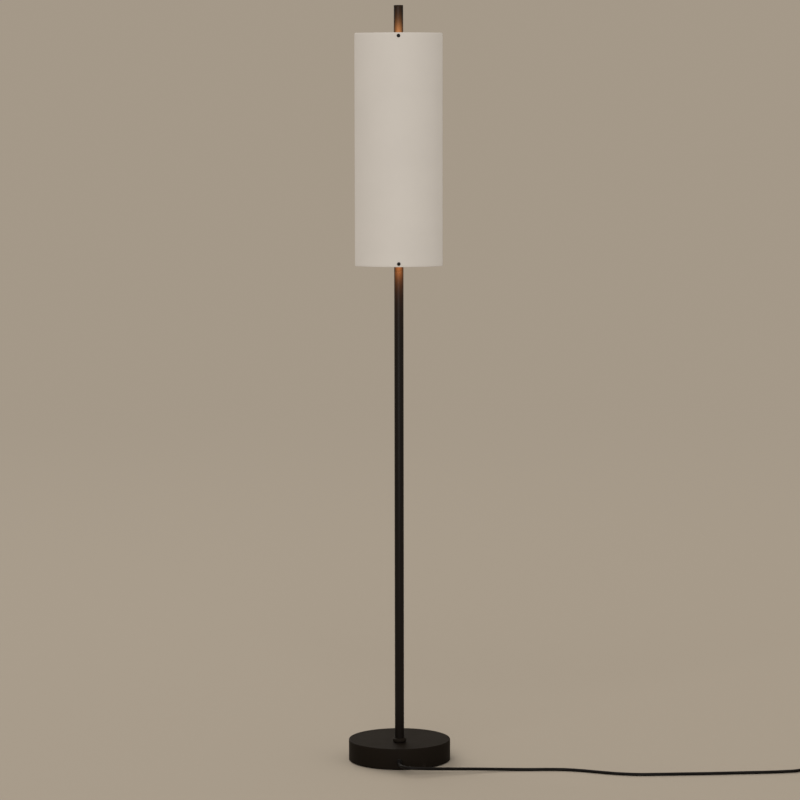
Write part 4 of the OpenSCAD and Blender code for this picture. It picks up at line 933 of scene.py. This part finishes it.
@dataclass
class FloorCord:
    """The mains cord: from the foot to its switch, and on through a tied coil to the plug.

    The points of its routes and the coil's centre are in millimetres.
    """

    diameter: float = 6 * MM
    fineness: int = 6
    step: float = 3 * MM
    coil_steps: int = 72
    coil_centre: Triple = (992, -68, 3.8)
    coil_radius: float = 44 * MM
    coil_pitch: float = 6.6 * MM
    coil_start: float = -0.25
    layer_turns: float = 2.75
    climb_turns: float = 0.5
    run_points: Sequence[Triple] = (
        (0, -120, 17), (0, -125, 17), (4, -136, 16.4), (14, -145, 15.6), (28, -147.5, 14.8),
        (44, -144.5, 13.6), (62, -139, 12), (90, -130, 9.8), (120, -123, 8), (158, -114, 5.8),
        (196, -108, 4), (228, -106, 3.2), (260, -106, 3), (290, -105, 3), (320, -107, 3),
        (350, -115, 3), (382, -128, 3), (418, -142, 3), (458, -150, 3), (504, -149, 3),
        (550, -146, 3), (598, -143, 3), (660, -137, 3), (720, -131, 3), (758, -124, 3),
        (776, -119, 3.8), (790, -114.5, 6), (801, -112.4, 8.2), (807, -112, 9), (812, -112, 9))
    tail_points: Sequence[Triple] = (
        (928, -112, 9), (934, -112, 9), (944, -112, 8.1), (956, -112, 6.1), (968, -112, 4.4),
        (980, -112, 3.8), (986, -112, 3.8))
    plug_points: Sequence[Triple] = (
        (998, -112, 10.4), (1004, -112, 10.4), (1015, -110.5, 10), (1025, -107, 9.4),
        (1034, -102, 8.6), (1043, -94, 7.6), (1051, -83, 7), (1054, -70, 6.8), (1055, -64, 6.8),
        (1055, -58, 6.8))

    def __post_init__(self) -> None:
        """Works out both routes."""
        self.run = [Vector((p.x, p.y, max(p.z, self.diameter / 2)))
                    for p in smooth_route(self.run_points, self.step)]
        self.stored = [*smooth_route(self.tail_points, self.step), *self.wind(),
                       *smooth_route(self.plug_points, self.step)]

    def wind(self) -> list[Vector]:
        """Winds the coil's line: in along the lower layer, and out again on top of it.

        Returns:
            The line's points.
        """
        centre, pitch = Vector(self.coil_centre) * MM, self.coil_pitch
        turns = 2 * self.layer_turns + self.climb_turns
        inner = self.coil_radius - pitch * self.layer_turns
        line = []
        for k in range(1, round(turns * self.coil_steps)):
            t = k / self.coil_steps
            late = t - self.layer_turns
            u = min(max(late / self.climb_turns, 0.0), 1.0)
            if late < 0:
                radius = self.coil_radius - pitch * t
            else:
                radius = inner + pitch * (self.climb_turns * (u * u - u)
                                          + max(late - self.climb_turns, 0.0))
            angle = FULL_TURN * (t + self.coil_start)
            rise = pitch * u * u * (3 - 2 * u)
            line.append(centre + Vector((radius * math.cos(angle), radius * math.sin(angle),
                                         rise)))
        return line

    def lay(self, name: str, route: Sequence[Vector], *nodes: str) -> bpy.types.Object:
        """Makes a round cord along a route.

        Args:
            name: The piece's name.
            route: The cord's centre line.
            nodes: The frame's nodes that it replaces.

        Returns:
            The cord.
        """
        LOG.info("%s: %.3f m long", name, route_length(route))
        strand = draw_strand(name, route, self.diameter, self.fineness)
        return strand.dress(*nodes, angle=STRAND_ANGLE)


@dataclass
class StrainRelief:
    """A tapered strain relief with flex grooves, whose neck sits in a housing.

    A groove's corners are given by their depth and their place along it, in millimetres.
    """

    name: str
    node: str
    tip: Vector
    axis: Vector
    root_width: float = 9.5 * MM
    collar: float = 0.0
    tip_width: float = 7.4 * MM
    length: float = 20 * MM
    grooves: int = 5
    groove: Outline = ((0, 0), (0.75, 0.25), (0.75, 1.1), (0, 1.35))
    first_groove: float = 3 * MM
    last_land: float = 2.2 * MM
    tip_round: tuple[float, float] = (0.5 * MM, 0.6 * MM)
    collar_step: float = 0.75 * MM
    collar_slope: float = 0.2 * MM
    neck_radius: float = 4 * MM
    neck_length: float = 1.8 * MM
    edge: float = 0.12 * MM

    def radius(self, along: float) -> float:
        """Returns the taper's radius at a distance from the tip."""
        root = self.length - self.collar
        return (self.tip_width + (self.root_width - self.tip_width) * along / root) / 2

    def build(self) -> bpy.types.Object:
        """Moulds the relief.

        Returns:
            The relief.
        """
        root, end = self.length - self.collar, self.length + self.neck_length
        pitch = (root - self.last_land - self.first_groove) / self.grooves
        inward, along = self.tip_round
        outline = [(0, 0), (self.radius(0) - inward, 0), (self.radius(0), along)]
        for k in range(self.grooves):
            h = self.first_groove + k * pitch
            outline += [(self.radius(h) - deep * MM, h + far * MM) for deep, far in self.groove]
        outline.append((self.root_width / 2, root))
        if self.collar:
            wide = self.root_width / 2 + self.collar_step
            outline += [(wide, root + self.collar_slope), (wide, self.length)]
        outline += [(self.neck_radius, self.length), (self.neck_radius, end), (0, end)]
        bench = Workpiece(self.name).turned(outline, self.tip, self.axis, 64)
        bench.soften(self.edge, angle=28.0)
        return bench.dress(self.node)


# --- Foot ---


@dataclass
class Foot:
    """Pressed steel cover on its soft ring, and the collar round the stem."""

    wall: float = 2 * MM
    edge_radius: float = 1.5 * MM
    inner_edge: float = 0.25 * MM
    top_rings: Sequence[float] = (1.5 * MM, 12 * MM, 30 * MM)
    stem_hole: float = 5.2 * MM
    cord_hole: float = 4.55 * MM
    collar_bulge: float = 3.4 * MM
    collar_gap: float = 0.05 * MM
    ring_width: float = 8 * MM
    ring_parts: int = 5
    ring_edge: float = 0.2 * MM
    groove_depth: float = 0.5 * MM
    sides: int = 192

    def __post_init__(self) -> None:
        """Takes the sizes from the frame."""
        self.cover = Box("base_cover")
        self.collar = Box("foot_collar")
        self.ring = Box("foot_ring")
        self.stem = Box("lower_stem")
        self.exit_height = Box("inner_cord").centre.z

    def build(self) -> None:
        """Makes the cover, the collar and the soft ring."""
        self.press_cover()
        self.turn_collar()
        self.mould_ring()

    def press_cover(self) -> None:
        """Presses the cover from a disc: round edge, thin wall, and holes for stem and cord."""
        radius, height, top = self.cover.size.x / 2, self.cover.size.z, self.cover.hi.z
        bench = Workpiece("foot_cover")
        bpy.ops.mesh.primitive_cylinder_add(vertices=self.sides, radius=radius, depth=height,
                                            location=(0, 0, self.cover.lo.z + height / 2))
        bench.pick(Pick.FACES, lambda place, normal: normal.z < -FACING)
        bpy.ops.mesh.delete(type="FACE")
        bench.pick(Pick.EDGES, lambda place, way: place.z > top - NEAR)
        bench.bevel(self.edge_radius, segments=6)
        for width in self.top_rings:
            bench.pick(Pick.FACES, lambda place, normal: normal.z > FACING
                       and place.xy.length < self.stem_hole)
            bench.inset(width)
        bench.thicken(self.wall)
        bench.soften(self.inner_edge)
        bench.drill(self.stem_hole, 4 * self.wall, (0, self.stem.centre.y, top))
        bench.drill(self.cord_hole, 6 * self.wall, (0, -radius, self.exit_height), ALONG_Y)
        bench.dress("base_cover")

    def turn_collar(self) -> None:
        """Turns the collar: a ring with a bulging side, and a bore for the stem."""
        outer, height = self.collar.size.x / 2, self.collar.size.z
        bore = self.stem.size.x / 2 + self.collar_gap
        bow = arc((outer - self.collar_bulge, height / 2), (self.collar_bulge, height / 2),
                  range(-90, 91, 10))
        bench = Workpiece("stem_collar")
        bench.turned([(bore, 0), *bow, (bore, height), (bore, 0)],
                     Vector((0, self.stem.centre.y, self.collar.lo.z)), steps=128)
        bench.dress("foot_collar")

    def mould_ring(self) -> None:
        """Moulds the soft ring, with two grip grooves on its underside."""
        outer, height = self.ring.size.x / 2, self.ring.size.z
        inner, step = outer - self.ring_width, self.ring_width / self.ring_parts
        outline = [(inner, height), (outer, height), (outer, 0)]
        for k in range(self.ring_parts - 1, 0, -2):
            far, near = inner + k * step, inner + (k - 1) * step
            outline += [(far, 0), (far, self.groove_depth), (near, self.groove_depth), (near, 0)]
        outline += [(inner, 0), (inner, height)]
        bench = Workpiece("soft_ring").turned(outline, UP * self.ring.lo.z, steps=160)
        bench.soften(self.ring_edge)
        bench.dress("foot_ring")


# --- Stem ---


@dataclass
class Stem:
    """The two tubes and the cap on top."""

    wall: float = 1.5 * MM
    edge: float = 0.25 * MM
    strip_flange: float = 3 * MM
    window_play: float = 0.15 * MM
    window_width: float = 10.4 * MM
    cutter_depth: float = 6 * MM
    cutter_lead: float = 0.4 * MM
    cap_play: float = 0.05 * MM
    cap_chamfer: float = 0.6 * MM
    cap_edge: float = 0.15 * MM
    dome_drops: tuple[float, float] = (0.15 * MM, 0.04 * MM)

    def __post_init__(self) -> None:
        """Takes the sizes from the frame."""
        self.lower = Box("lower_stem")
        self.upper = Box("upper_stem")
        self.cap = Box("end_cap")
        self.window = Box("diffuser")
        self.radius = self.lower.size.x / 2
        self.axis = Vector((0, round(self.lower.centre.y, 4), 0))

    def build(self) -> list[bpy.types.Object]:
        """Makes both tubes and the cap.

        Returns:
            The lower tube, the upper tube and the cap.
        """
        lower = self.draw_tube("lower_tube", self.lower).dress("lower_stem")
        upper = self.draw_tube("upper_tube", self.upper)
        self.mill_window(upper)
        return [lower, upper.dress("upper_stem"), self.turn_cap()]

    def draw_tube(self, name: str, box: Box) -> Workpiece:
        """Turns one tube, with its ends' edges broken.

        Args:
            name: The piece's name.
            box: The tube's box.

        Returns:
            The workpiece.
        """
        inner, length = self.radius - self.wall, box.size.z
        bench = Workpiece(name)
        bench.turned([(inner, 0), (self.radius, 0), (self.radius, length), (inner, length),
                      (inner, 0)], self.axis + UP * box.lo.z)
        bench.soften(self.edge)
        return bench

    def mill_window(self, tube: Workpiece) -> None:
        """Mills the strip's window through the tube's front.

        Args:
            tube: The upper tube.
        """
        flange = self.strip_flange - self.window_play
        low, high = self.window.lo.z + flange, self.window.hi.z - flange
        cutter = Workpiece("window_cutter")
        bpy.ops.mesh.primitive_cube_add(size=1.0)
        cutter.pick_all()
        cutter.resize((self.window_width, self.cutter_depth, high - low), Vector())
        bpy.ops.transform.translate(
            value=(0, self.axis.y - self.radius - self.cutter_lead, (low + high) / 2))
        tube.cut(cutter)

    def turn_cap(self) -> bpy.types.Object:
        """Turns the cap: a plug in the tube and a chamfered disc with a shallow dome.

        Returns:
            The cap.
        """
        radius, top, disc = self.radius, self.cap.size.z, self.upper.hi.z - self.cap.lo.z
        inner = radius - self.wall - self.cap_play
        rim_drop, half_drop = self.dome_drops
        bench = Workpiece("tube_cap")
        bench.turned([(0, 0), (inner, 0), (inner, disc), (radius, disc),
                      (radius, top - self.cap_chamfer),
                      (radius - self.cap_chamfer, top - rim_drop),
                      (radius / 2, top - half_drop), (0, top)], self.axis + UP * self.cap.lo.z)
        bench.soften(self.cap_edge, angle=25.0)
        return bench.dress("end_cap")


# --- Sheet ---


@dataclass
class CurvedSheet:
    """The rolled sheet in front of the stem, on two spacers with a screw through each."""

    radius: float = 117 * MM
    thickness: float = 1.5 * MM
    corner: float = 3 * MM
    edge: float = 0.35 * MM
    columns: int = 48
    edge_rows: Sequence[float] = (0.0, 4 * MM, 20 * MM)
    spacer_seat: float = 0.9 * MM
    stem_land: float = 3.2 * MM
    sheet_land: float = 2.3 * MM
    waist_depth: float = 0.5 * MM
    waist_slope: float = 0.7 * MM
    spacer_edge: float = 0.2 * MM
    head_radius: float = 3.5 * MM
    head_height: float = 2.2 * MM
    head_angles: Sequence[int] = (0, 12, 26, 40, 54)
    head_edge: float = 0.12 * MM
    shank_radius: float = 2 * MM
    shank_length: float = 6 * MM
    socket_radius: float = 1.45 * MM
    socket_depth: float = 1.4 * MM

    def __post_init__(self) -> None:
        """Takes the sizes from the frame."""
        self.box = Box("shade")
        self.stem = Box("lower_stem")
        self.front = self.box.lo.y
        self.axis = Vector((0, self.front + self.radius, 0))
        self.half_angle = math.asin(self.box.size.x / 2 / self.radius)
        self.heights = {node: Box(node).centre.z for node in ("lower_spacer", "upper_spacer")}

    def build(self) -> None:
        """Makes the sheet, both spacers and both screws."""
        self.roll_sheet()
        for node, height in self.heights.items():
            self.turn_spacer(node, height)
        self.make_screws()

    def roll_sheet(self) -> None:
        """Rolls the sheet from its side edge round to the other, and rounds its corners."""
        side = Vector((-math.sin(self.half_angle), -math.cos(self.half_angle), 0)) * self.radius
        low, high = self.box.lo.z, self.box.hi.z
        middle = (low + high) / 2
        rows = [*(low + row for row in self.edge_rows), middle,
                *(high - row for row in reversed(self.edge_rows))]
        bench = Workpiece("curved_sheet")
        bench.chain([self.axis + side + UP * z for z in rows])
        bench.spin(self.axis, -UP, self.columns, 2 * self.half_angle)
        edge_x = self.box.size.x / 2 - NEAR
        bench.pick(Pick.VERTS, lambda place, normal: abs(place.x) > edge_x
                   and abs(place.z - middle) > middle - low - NEAR)
        bench.bevel(self.corner, segments=6, corners=True)
        bench.face_away(self.axis + UP * middle)
        bench.thicken(self.thickness)
        bench.soften(self.edge, segments=3)
        bench.dress("shade")

    def turn_spacer(self, node: str, height: float) -> None:
        """Turns a spacer with a shallow waist and broken edges.

        Args:
            node: The frame's node that it replaces.
            height: Height of its axis.
        """
        start = self.stem.centre.y - self.stem.size.x / 2 + self.spacer_seat
        length = start - (self.front + self.thickness)
        radius = Box(node).size.x / 2
        waist, sheet_land = radius - self.waist_depth, length - self.sheet_land
        bench = Workpiece(f"{node}_post")
        bench.turned([(0, 0), (radius, 0), (radius, self.stem_land),
                      (waist, self.stem_land + self.waist_slope),
                      (waist, sheet_land - self.waist_slope), (radius, sheet_land),
                      (radius, length), (0, length)], Vector((0, start, height)), FRONT, 64)
        bench.soften(self.spacer_edge, angle=20.0)
        bench.dress(node)

    def make_screws(self) -> None:
        """Makes one round-headed screw with a hexagon socket, and its copy at the other end."""
        low, high = self.heights.values()
        dome = arc((0, 0), (self.head_radius, self.head_height), self.head_angles)
        flat = dome[-1][1]
        bench = Workpiece("sheet_screw_low")
        bench.turned([(0, -self.shank_length), (self.shank_radius, -self.shank_length),
                      (self.shank_radius, 0), *dome, (0, flat)],
                     Vector((0, self.front, low)), FRONT, 48)
        bench.soften(self.head_edge, angle=30.0)
        bench.drill(self.socket_radius, 2 * self.socket_depth, (0, self.front - flat, low),
                    ALONG_Y, sides=6)
        copy_of(bench.dress("shade_screws"), "sheet_screw_high", "shade_screws",
                (0, 0, high - low))


# --- Foot switch ---


class Half(Enum):
    """Halves of the switch's housing."""

    LOWER = "switch_lower_shell"
    UPPER = "switch_upper_shell"


@dataclass
class FootSwitch:
    """Switch in the cord: two halves of a housing, a button, a spring and two strain reliefs.

    The corners of the button's crown are given by their distance from its axis and their depth
    below its top, in millimetres.
    """

    corner: float = 15 * MM
    crown: float = 4 * MM
    sole_edge: float = 0.8 * MM
    wall: float = 2 * MM
    parting: float = 0.3 * MM
    neck_hole: float = 4.05 * MM
    neck_lift: float = 0.02 * MM
    hole_flare: float = 1.2 * MM
    hole_lip: float = 0.6 * MM
    button_radius: float = 12 * MM
    button_gap: float = 0.25 * MM
    button_pin: tuple[float, float] = (3 * MM, 4.7 * MM)
    button_crown: Outline = ((12, 2), (11.65, 1.15), (10.8, 0.8), (8.2, 0.38), (7.9, 0.62),
                             (7.3, 0.62), (7.0, 0.26), (4, 0.08), (0, 0))
    flange_width: float = 1.5 * MM
    flange_height: float = 2 * MM
    button_edge: float = 0.12 * MM
    spring_wire: float = 0.8 * MM
    spring_turns: int = 4
    spring_steps: int = 32
    spring_side_gap: float = 0.15 * MM
    spring_end_gap: float = 0.02 * MM
    closed_pitch: float = 1.02

    def __post_init__(self) -> None:
        """Takes the sizes from the frame."""
        self.lower, self.upper = Box(Half.LOWER.value), Box(Half.UPPER.value)
        self.button = Box("switch_button")
        self.centre = self.upper.centre
        self.split = self.lower.hi.z

    def build(self) -> list[bpy.types.Object]:
        """Makes the switch.

        Returns:
            Its pieces.
        """
        pieces = [self.mould_half(half) for half in Half]
        pieces += [self.turn_button(), self.wind_spring()]
        for node, way in (("switch_relief_in", 1), ("switch_relief_out", -1)):
            box = Box(node)
            tip = Vector((box.lo.x if way > 0 else box.hi.x, box.centre.y, self.split))
            relief = StrainRelief(f"{node}_moulding", node, tip, Vector((way, 0, 0)))
            pieces.append(relief.build())
        return pieces

    def mould_half(self, half: Half) -> bpy.types.Object:
        """Moulds one half of the housing.

        Args:
            half: Which half.

        Returns:
            The half.
        """
        if half is Half.UPPER:
            box, out, rim = self.upper, 1, self.crown
        else:
            box, out, rim = self.lower, -1, self.sole_edge
        outer_z = self.split + out * box.size.z
        middle = Vector((self.centre.x, self.centre.y, self.split))
        bench = Workpiece(f"{half.name.lower()}_housing")
        bench.lay_plate(middle, (box.size.x, box.size.y, 1), self.corner, segments=14)
        bench.extrude(UP * out * box.size.z)
        bench.close_seams()
        bench.pick(Pick.EDGES, lambda place, way: abs(place.z - outer_z) < NEAR)
        bench.bevel(rim, segments=8)
        bench.pick(Pick.FACES, lambda place, normal: normal.z * out < -FACING)
        bpy.ops.mesh.delete(type="FACE")
        bench.close_seams()
        bench.face_away(middle)
        bench.thicken(self.wall, use_even_offset=True)
        bench.soften(self.parting, angle=70.0)
        bench.drill(self.neck_hole, 2 * box.size.x, middle + UP * self.neck_lift, ALONG_X)
        if half is Half.UPPER:
            hole, radius = Workpiece("button_cutter"), self.button_radius + self.button_gap
            start, end = box.size.z - self.hole_lip, box.size.z + self.hole_lip
            hole.turned([(0, 0), (radius, 0), (radius, start), (radius + self.hole_flare, end),
                         (0, end)], middle)
            bench.cut(hole)
        return bench.dress(half.value)

    def turn_button(self) -> bpy.types.Object:
        """Turns the button: a pin, a flange, a guide wall and a crown with a shallow ring.

        Returns:
            The button.
        """
        pin, base = self.button_pin
        flange = self.button_radius + self.flange_width
        lift = self.upper.hi.z - self.wall - self.button.lo.z
        crown = [(r * MM, self.button.size.z - drop * MM) for r, drop in self.button_crown]
        bench = Workpiece("foot_button_cap")
        bench.turned([(0, 0), (pin, 0), (pin, base), (flange, lift - self.flange_height),
                      (flange, lift), (self.button_radius, lift), *crown],
                     Vector((self.centre.x, self.centre.y, self.button.lo.z)))
        bench.soften(self.button_edge, angle=30.0)
        return bench.dress("switch_button")

    def wind_spring(self) -> bpy.types.Object:
        """Winds the return spring with closed end turns; the button squeezes it.

        Returns:
            The spring.
        """
        box, wire, last = Box("switch_spring"), self.spring_wire, self.spring_turns - 1
        radius = box.size.y / 2 - self.spring_side_gap - wire / 2
        floor = box.lo.z + wire / 2 + self.spring_end_gap
        closed = self.closed_pitch * wire
        rise = box.size.z - wire - 2 * self.spring_end_gap
        open_pitch = (rise - 2 * closed) / (last - 1)
        route = []
        for k in range(self.spring_turns * self.spring_steps + 1):
            t = k / self.spring_steps
            lift = (closed * (min(t, 1.0) + max(t - last, 0.0))
                    + open_pitch * (min(max(t, 1.0), last) - 1.0))
            route.append(Vector((box.centre.x + radius * math.cos(FULL_TURN * t),
                                 self.centre.y + radius * math.sin(FULL_TURN * t), floor + lift)))
        spring = draw_strand("return_spring", route, wire, fineness=2)
        spring = spring.dress("switch_spring", angle=STRAND_ANGLE)
        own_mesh(spring)
        return spring


# --- Stored end of the cord ---


@dataclass
class StoredEnd:
    """The tie round the coil, and the flat two-pin plug.

    The grip's sections are given by their place along it, width and depth, in millimetres.
    """

    strap: float = 0.5 * MM
    strap_inset: float = 0.3 * MM
    strap_rows: int = 4
    strap_corner: float = 3 * MM
    strap_end: float = 0.1 * MM
    strap_edge: float = 0.08 * MM
    relief_length: float = 20 * MM
    relief_root: float = 8.6 * MM
    grip_corner: float = 2.9 * MM
    grip_edge: float = 0.1 * MM
    grip_sections: Sequence[Triple] = (
        (0, 12, 9), (4, 17.5, 10.6), (8, 24.5, 12.2), (12, 29.6, 13.2), (15, 31.6, 13.6),
        (18, 31.9, 13.6), (22, 31.7, 13.6), (26, 32.4, 13.6), (30, 34.2, 13.6), (33.2, 35, 13.6),
        (34, 34.2, 12.8))
    groove_places: Sequence[float] = (17 * MM, 20 * MM, 23 * MM, 26 * MM)
    groove_radius: float = 0.55 * MM
    groove_side: float = 16.15 * MM
    groove_share: float = 0.72
    pin_radius: float = 2 * MM
    core_radius: float = 1.6 * MM
    pin_root: float = 0.5 * MM
    sleeve_length: float = 10 * MM
    sleeve_root: float = 1 * MM
    sleeve_lip: tuple[float, float] = (1.85 * MM, 0.2 * MM)
    shoulder: float = 0.05 * MM

    def __post_init__(self) -> None:
        """Takes the sizes from the frame."""
        self.tie = Box("coil_tie")
        self.body = Box("plug_body")
        self.pins = Box("plug_pins")
        self.height = self.body.centre.z

    def at(self, along: float) -> Vector:
        """Returns a point on the plug's axis, at a distance from its cord end."""
        return Vector((self.body.centre.x, self.body.lo.y + along, self.height))

    def build(self) -> list[bpy.types.Object]:
        """Makes the tie and the plug.

        Returns:
            Their pieces.
        """
        tie, grip = self.wrap_tie(), self.mould_grip()
        relief = StrainRelief("plug_relief", "plug_body", self.at(0), BACK, self.relief_root,
                              length=self.relief_length).build()
        return [tie, grip, *self.turn_contacts(), relief]

    def wrap_tie(self) -> bpy.types.Object:
        """Wraps the strap round the turns, with its end laid over the top.

        Returns:
            The tie.
        """
        centre, size = self.tie.centre, self.tie.size
        bench = Workpiece("tie_strap")
        bench.lay_plate(centre, (1, size.y - 2 * self.strap_inset, size.z - 2 * self.strap_inset),
                        self.strap_corner, segments=8, turn=ALONG_X)
        bpy.ops.mesh.delete(type="ONLY_FACE")
        bench.pick(Pick.EDGES)
        bpy.ops.transform.translate(value=(-size.x / 2, 0, 0))
        for _ in range(self.strap_rows):
            bench.extrude((size.x / self.strap_rows, 0, 0))
        bench.close_seams()
        bench.modify("SOLIDIFY", thickness=self.strap, offset=0.0)
        top, reach = self.tie.hi.z - self.strap_inset, size.y / 2 - self.strap_corner
        bench.pick(Pick.FACES, lambda place, normal: normal.z > FACING and place.z > top
                   and abs(place.y - centre.y) < reach)
        bench.extrude(UP * self.strap_end)
        bench.soften(self.strap_edge)
        return bench.dress("coil_tie", finish="strap")

    def mould_grip(self) -> bpy.types.Object:
        """Moulds the plug's grip: shoulders, a waist, and grooves down both sides.

        Returns:
            The grip.
        """
        (_, width, depth), *sections = self.grip_sections
        base, done = self.at(self.relief_length), 0.0
        bench = Workpiece("plug_grip")
        bench.lay_plate(base, (width * MM, 1, depth * MM), self.grip_corner, segments=8,
                        turn=ALONG_Y)
        for along, next_width, next_depth in sections:
            bench.extrude((0, (along - done) * MM, 0))
            bench.resize((next_width / width, 1, next_depth / depth),
                         self.at(self.relief_length + along * MM))
            width, depth, done = next_width, next_depth, along
        bench.close_seams()
        grooves = Workpiece("grip_cutter")
        for side in (-self.groove_side, self.groove_side):
            for along in self.groove_places:
                bpy.ops.mesh.primitive_cylinder_add(
                    vertices=24, radius=self.groove_radius,
                    depth=self.body.size.z * self.groove_share,
                    location=(base.x + side, base.y + along, base.z))
        bench.cut(grooves)
        bench.soften(self.grip_edge, angle=50.0)
        return bench.dress("plug_body")

    def turn_contacts(self) -> list[bpy.types.Object]:
        """Makes both pins and their insulating sleeves.

        Returns:
            The pins and the sleeves.
        """
        radius, core, sleeve = self.pin_radius, self.core_radius, self.sleeve_length
        length = self.pins.hi.y - self.body.hi.y
        lip_radius, lip = self.sleeve_lip
        pin = [(0, -self.pin_root), (core, -self.pin_root), (core, sleeve),
               (radius, sleeve + self.shoulder),
               *arc((0, length - radius), (radius, radius), range(0, 90, 15)), (0, length)]
        tube = [(core, -self.sleeve_root), (radius, -self.sleeve_root), (radius, sleeve - lip),
                (lip_radius, sleeve), (core, sleeve), (core, -self.sleeve_root)]
        return [*self.turn_pair("pin", "plug_pins", pin),
                *self.turn_pair("sleeve", "plug_sleeves", tube)]

    def turn_pair(self, name: str, node: str, outline: Outline) -> list[bpy.types.Object]:
        """Turns a piece for the plug's right pin, and copies it to the left one.

        Args:
            name: What both pieces are called, before their side.
            node: The frame's node that they stand for.
            outline: The piece's outline, from the plug's face.

        Returns:
            Both pieces.
        """
        centre = Vector((self.pins.hi.x - self.pin_radius, self.body.hi.y, self.height))
        right = Workpiece(f"{name}_right").turned(outline, centre, BACK, 48).dress(node)
        pitch = self.pins.size.x - 2 * self.pin_radius
        return [right, copy_of(right, f"{name}_left", node, (-pitch, 0, 0))]


# --- Light strip ---


@dataclass
class StripLight:
    """Lamps that stand for the strip's own light between the stem and the sheet.

    One lies along the strip and lights the sheet's inner face. One more at each end of the sheet
    stands for the light that this lit face throws on the stem above and below the sheet, so these
    two light the stem's pieces alone.
    """

    stem: Sequence[bpy.types.Object]
    strip_colour: Colour = (1.0, 0.60, 0.30)
    strip_power: float = 0.10
    strip_width: float = 10 * MM
    strip_gap: float = 1 * MM
    edge_size: tuple[float, float] = (8 * MM, 4 * MM)
    edge_gap: float = 2.5 * MM
    edge_tilt: float = math.radians(12)
    top_colour: Colour = (1.0, 0.52, 0.21)
    top_power: float = 0.38
    bottom_colour: Colour = (1.0, 0.43, 0.15)
    bottom_power: float = 0.35

    def __post_init__(self) -> None:
        """Takes the sizes from the frame."""
        self.sheet = Box("shade")
        self.strip = Box("diffuser")

    def build(self) -> None:
        """Sets one lamp along the strip and one at each end of the sheet."""
        self.place("strip_lamp", Vector((0, self.strip.lo.y - self.strip_gap,
                                         self.strip.centre.z)),
                   (self.strip_width, self.strip.size.z), FRONT, self.strip_colour,
                   self.strip_power)
        lit = bpy.data.collections.new("lit_by_edges")
        for piece in (*self.stem, frame["nodes"]["friction_washer"]):
            lit.objects.link(piece)
        back, up = math.cos(self.edge_tilt), math.sin(self.edge_tilt)
        for name, height, rise, colour, power in (
                ("top_edge_lamp", self.sheet.hi.z, up, self.top_colour, self.top_power),
                ("bottom_edge_lamp", self.sheet.lo.z, -up, self.bottom_colour,
                 self.bottom_power)):
            centre = Vector((0, self.sheet.lo.y + self.edge_gap, height))
            lamp = self.place(name, centre, self.edge_size, Vector((0, back, rise)), colour,
                              power)
            lamp.light_linking.receiver_collection = lit
        LOG.info("strip light: three lamps")

    def place(self, name: str, centre: Vector, size: tuple[float, float], way: Vector,
              colour: Colour, power: float) -> bpy.types.Object:
        """Places an oblong lamp that turns with the light column.

        Args:
            name: The lamp's name.
            centre: Its middle.
            size: Its width and height.
            way: Direction of its light.
            colour: Colour of its light.
            power: Its power in watts.

        Returns:
            The lamp.
        """
        data = bpy.data.lights.new(name, "AREA")
        data.shape = "RECTANGLE"
        data.size, data.size_y = size
        data.energy, data.color = power, colour
        lamp = bpy.data.objects.new(name, data)
        bpy.context.scene.collection.objects.link(lamp)
        across = Vector((1, 0, 0))
        turn = Matrix((across, (-way).cross(across), -way)).transposed()
        lamp.matrix_world = Matrix.Translation(centre) @ turn.to_4x4()
        lamp.visible_camera = False
        lamp.visible_glossy = False
        lamp.parent = frame["nodes"]["shade"].parent
        lamp.matrix_parent_inverse = lamp.parent.matrix_world.inverted()
        return lamp


def main() -> None:
    """Builds the camera, the cords, the studio and every sub-assembly in turn."""
    bpy.context.scene.view_settings.view_transform = "Standard"
    PhotoCamera().build()
    dress_frame()
    cord = FloorCord()
    run = cord.lay("floor_cord", cord.run, "cord_run")
    stored = cord.lay("stored_cord", cord.stored, "cord_switch_tail", "cord_coil",
                      "cord_plug_tail")
    Studio().build()
    Foot().build()
    relief = StrainRelief("cord_relief_moulding", "cord_relief", Vector(cord.run_points[0]) * MM,
                          BACK, collar=1.5 * MM).build()
    stem = Stem().build()
    CurvedSheet().build()
    StripLight(stem).build()
    switch = FootSwitch().build()
    end = StoredEnd().build()


if __name__ == "__main__":
    logging.basicConfig(level=logging.INFO, format="%(message)s")
    main()
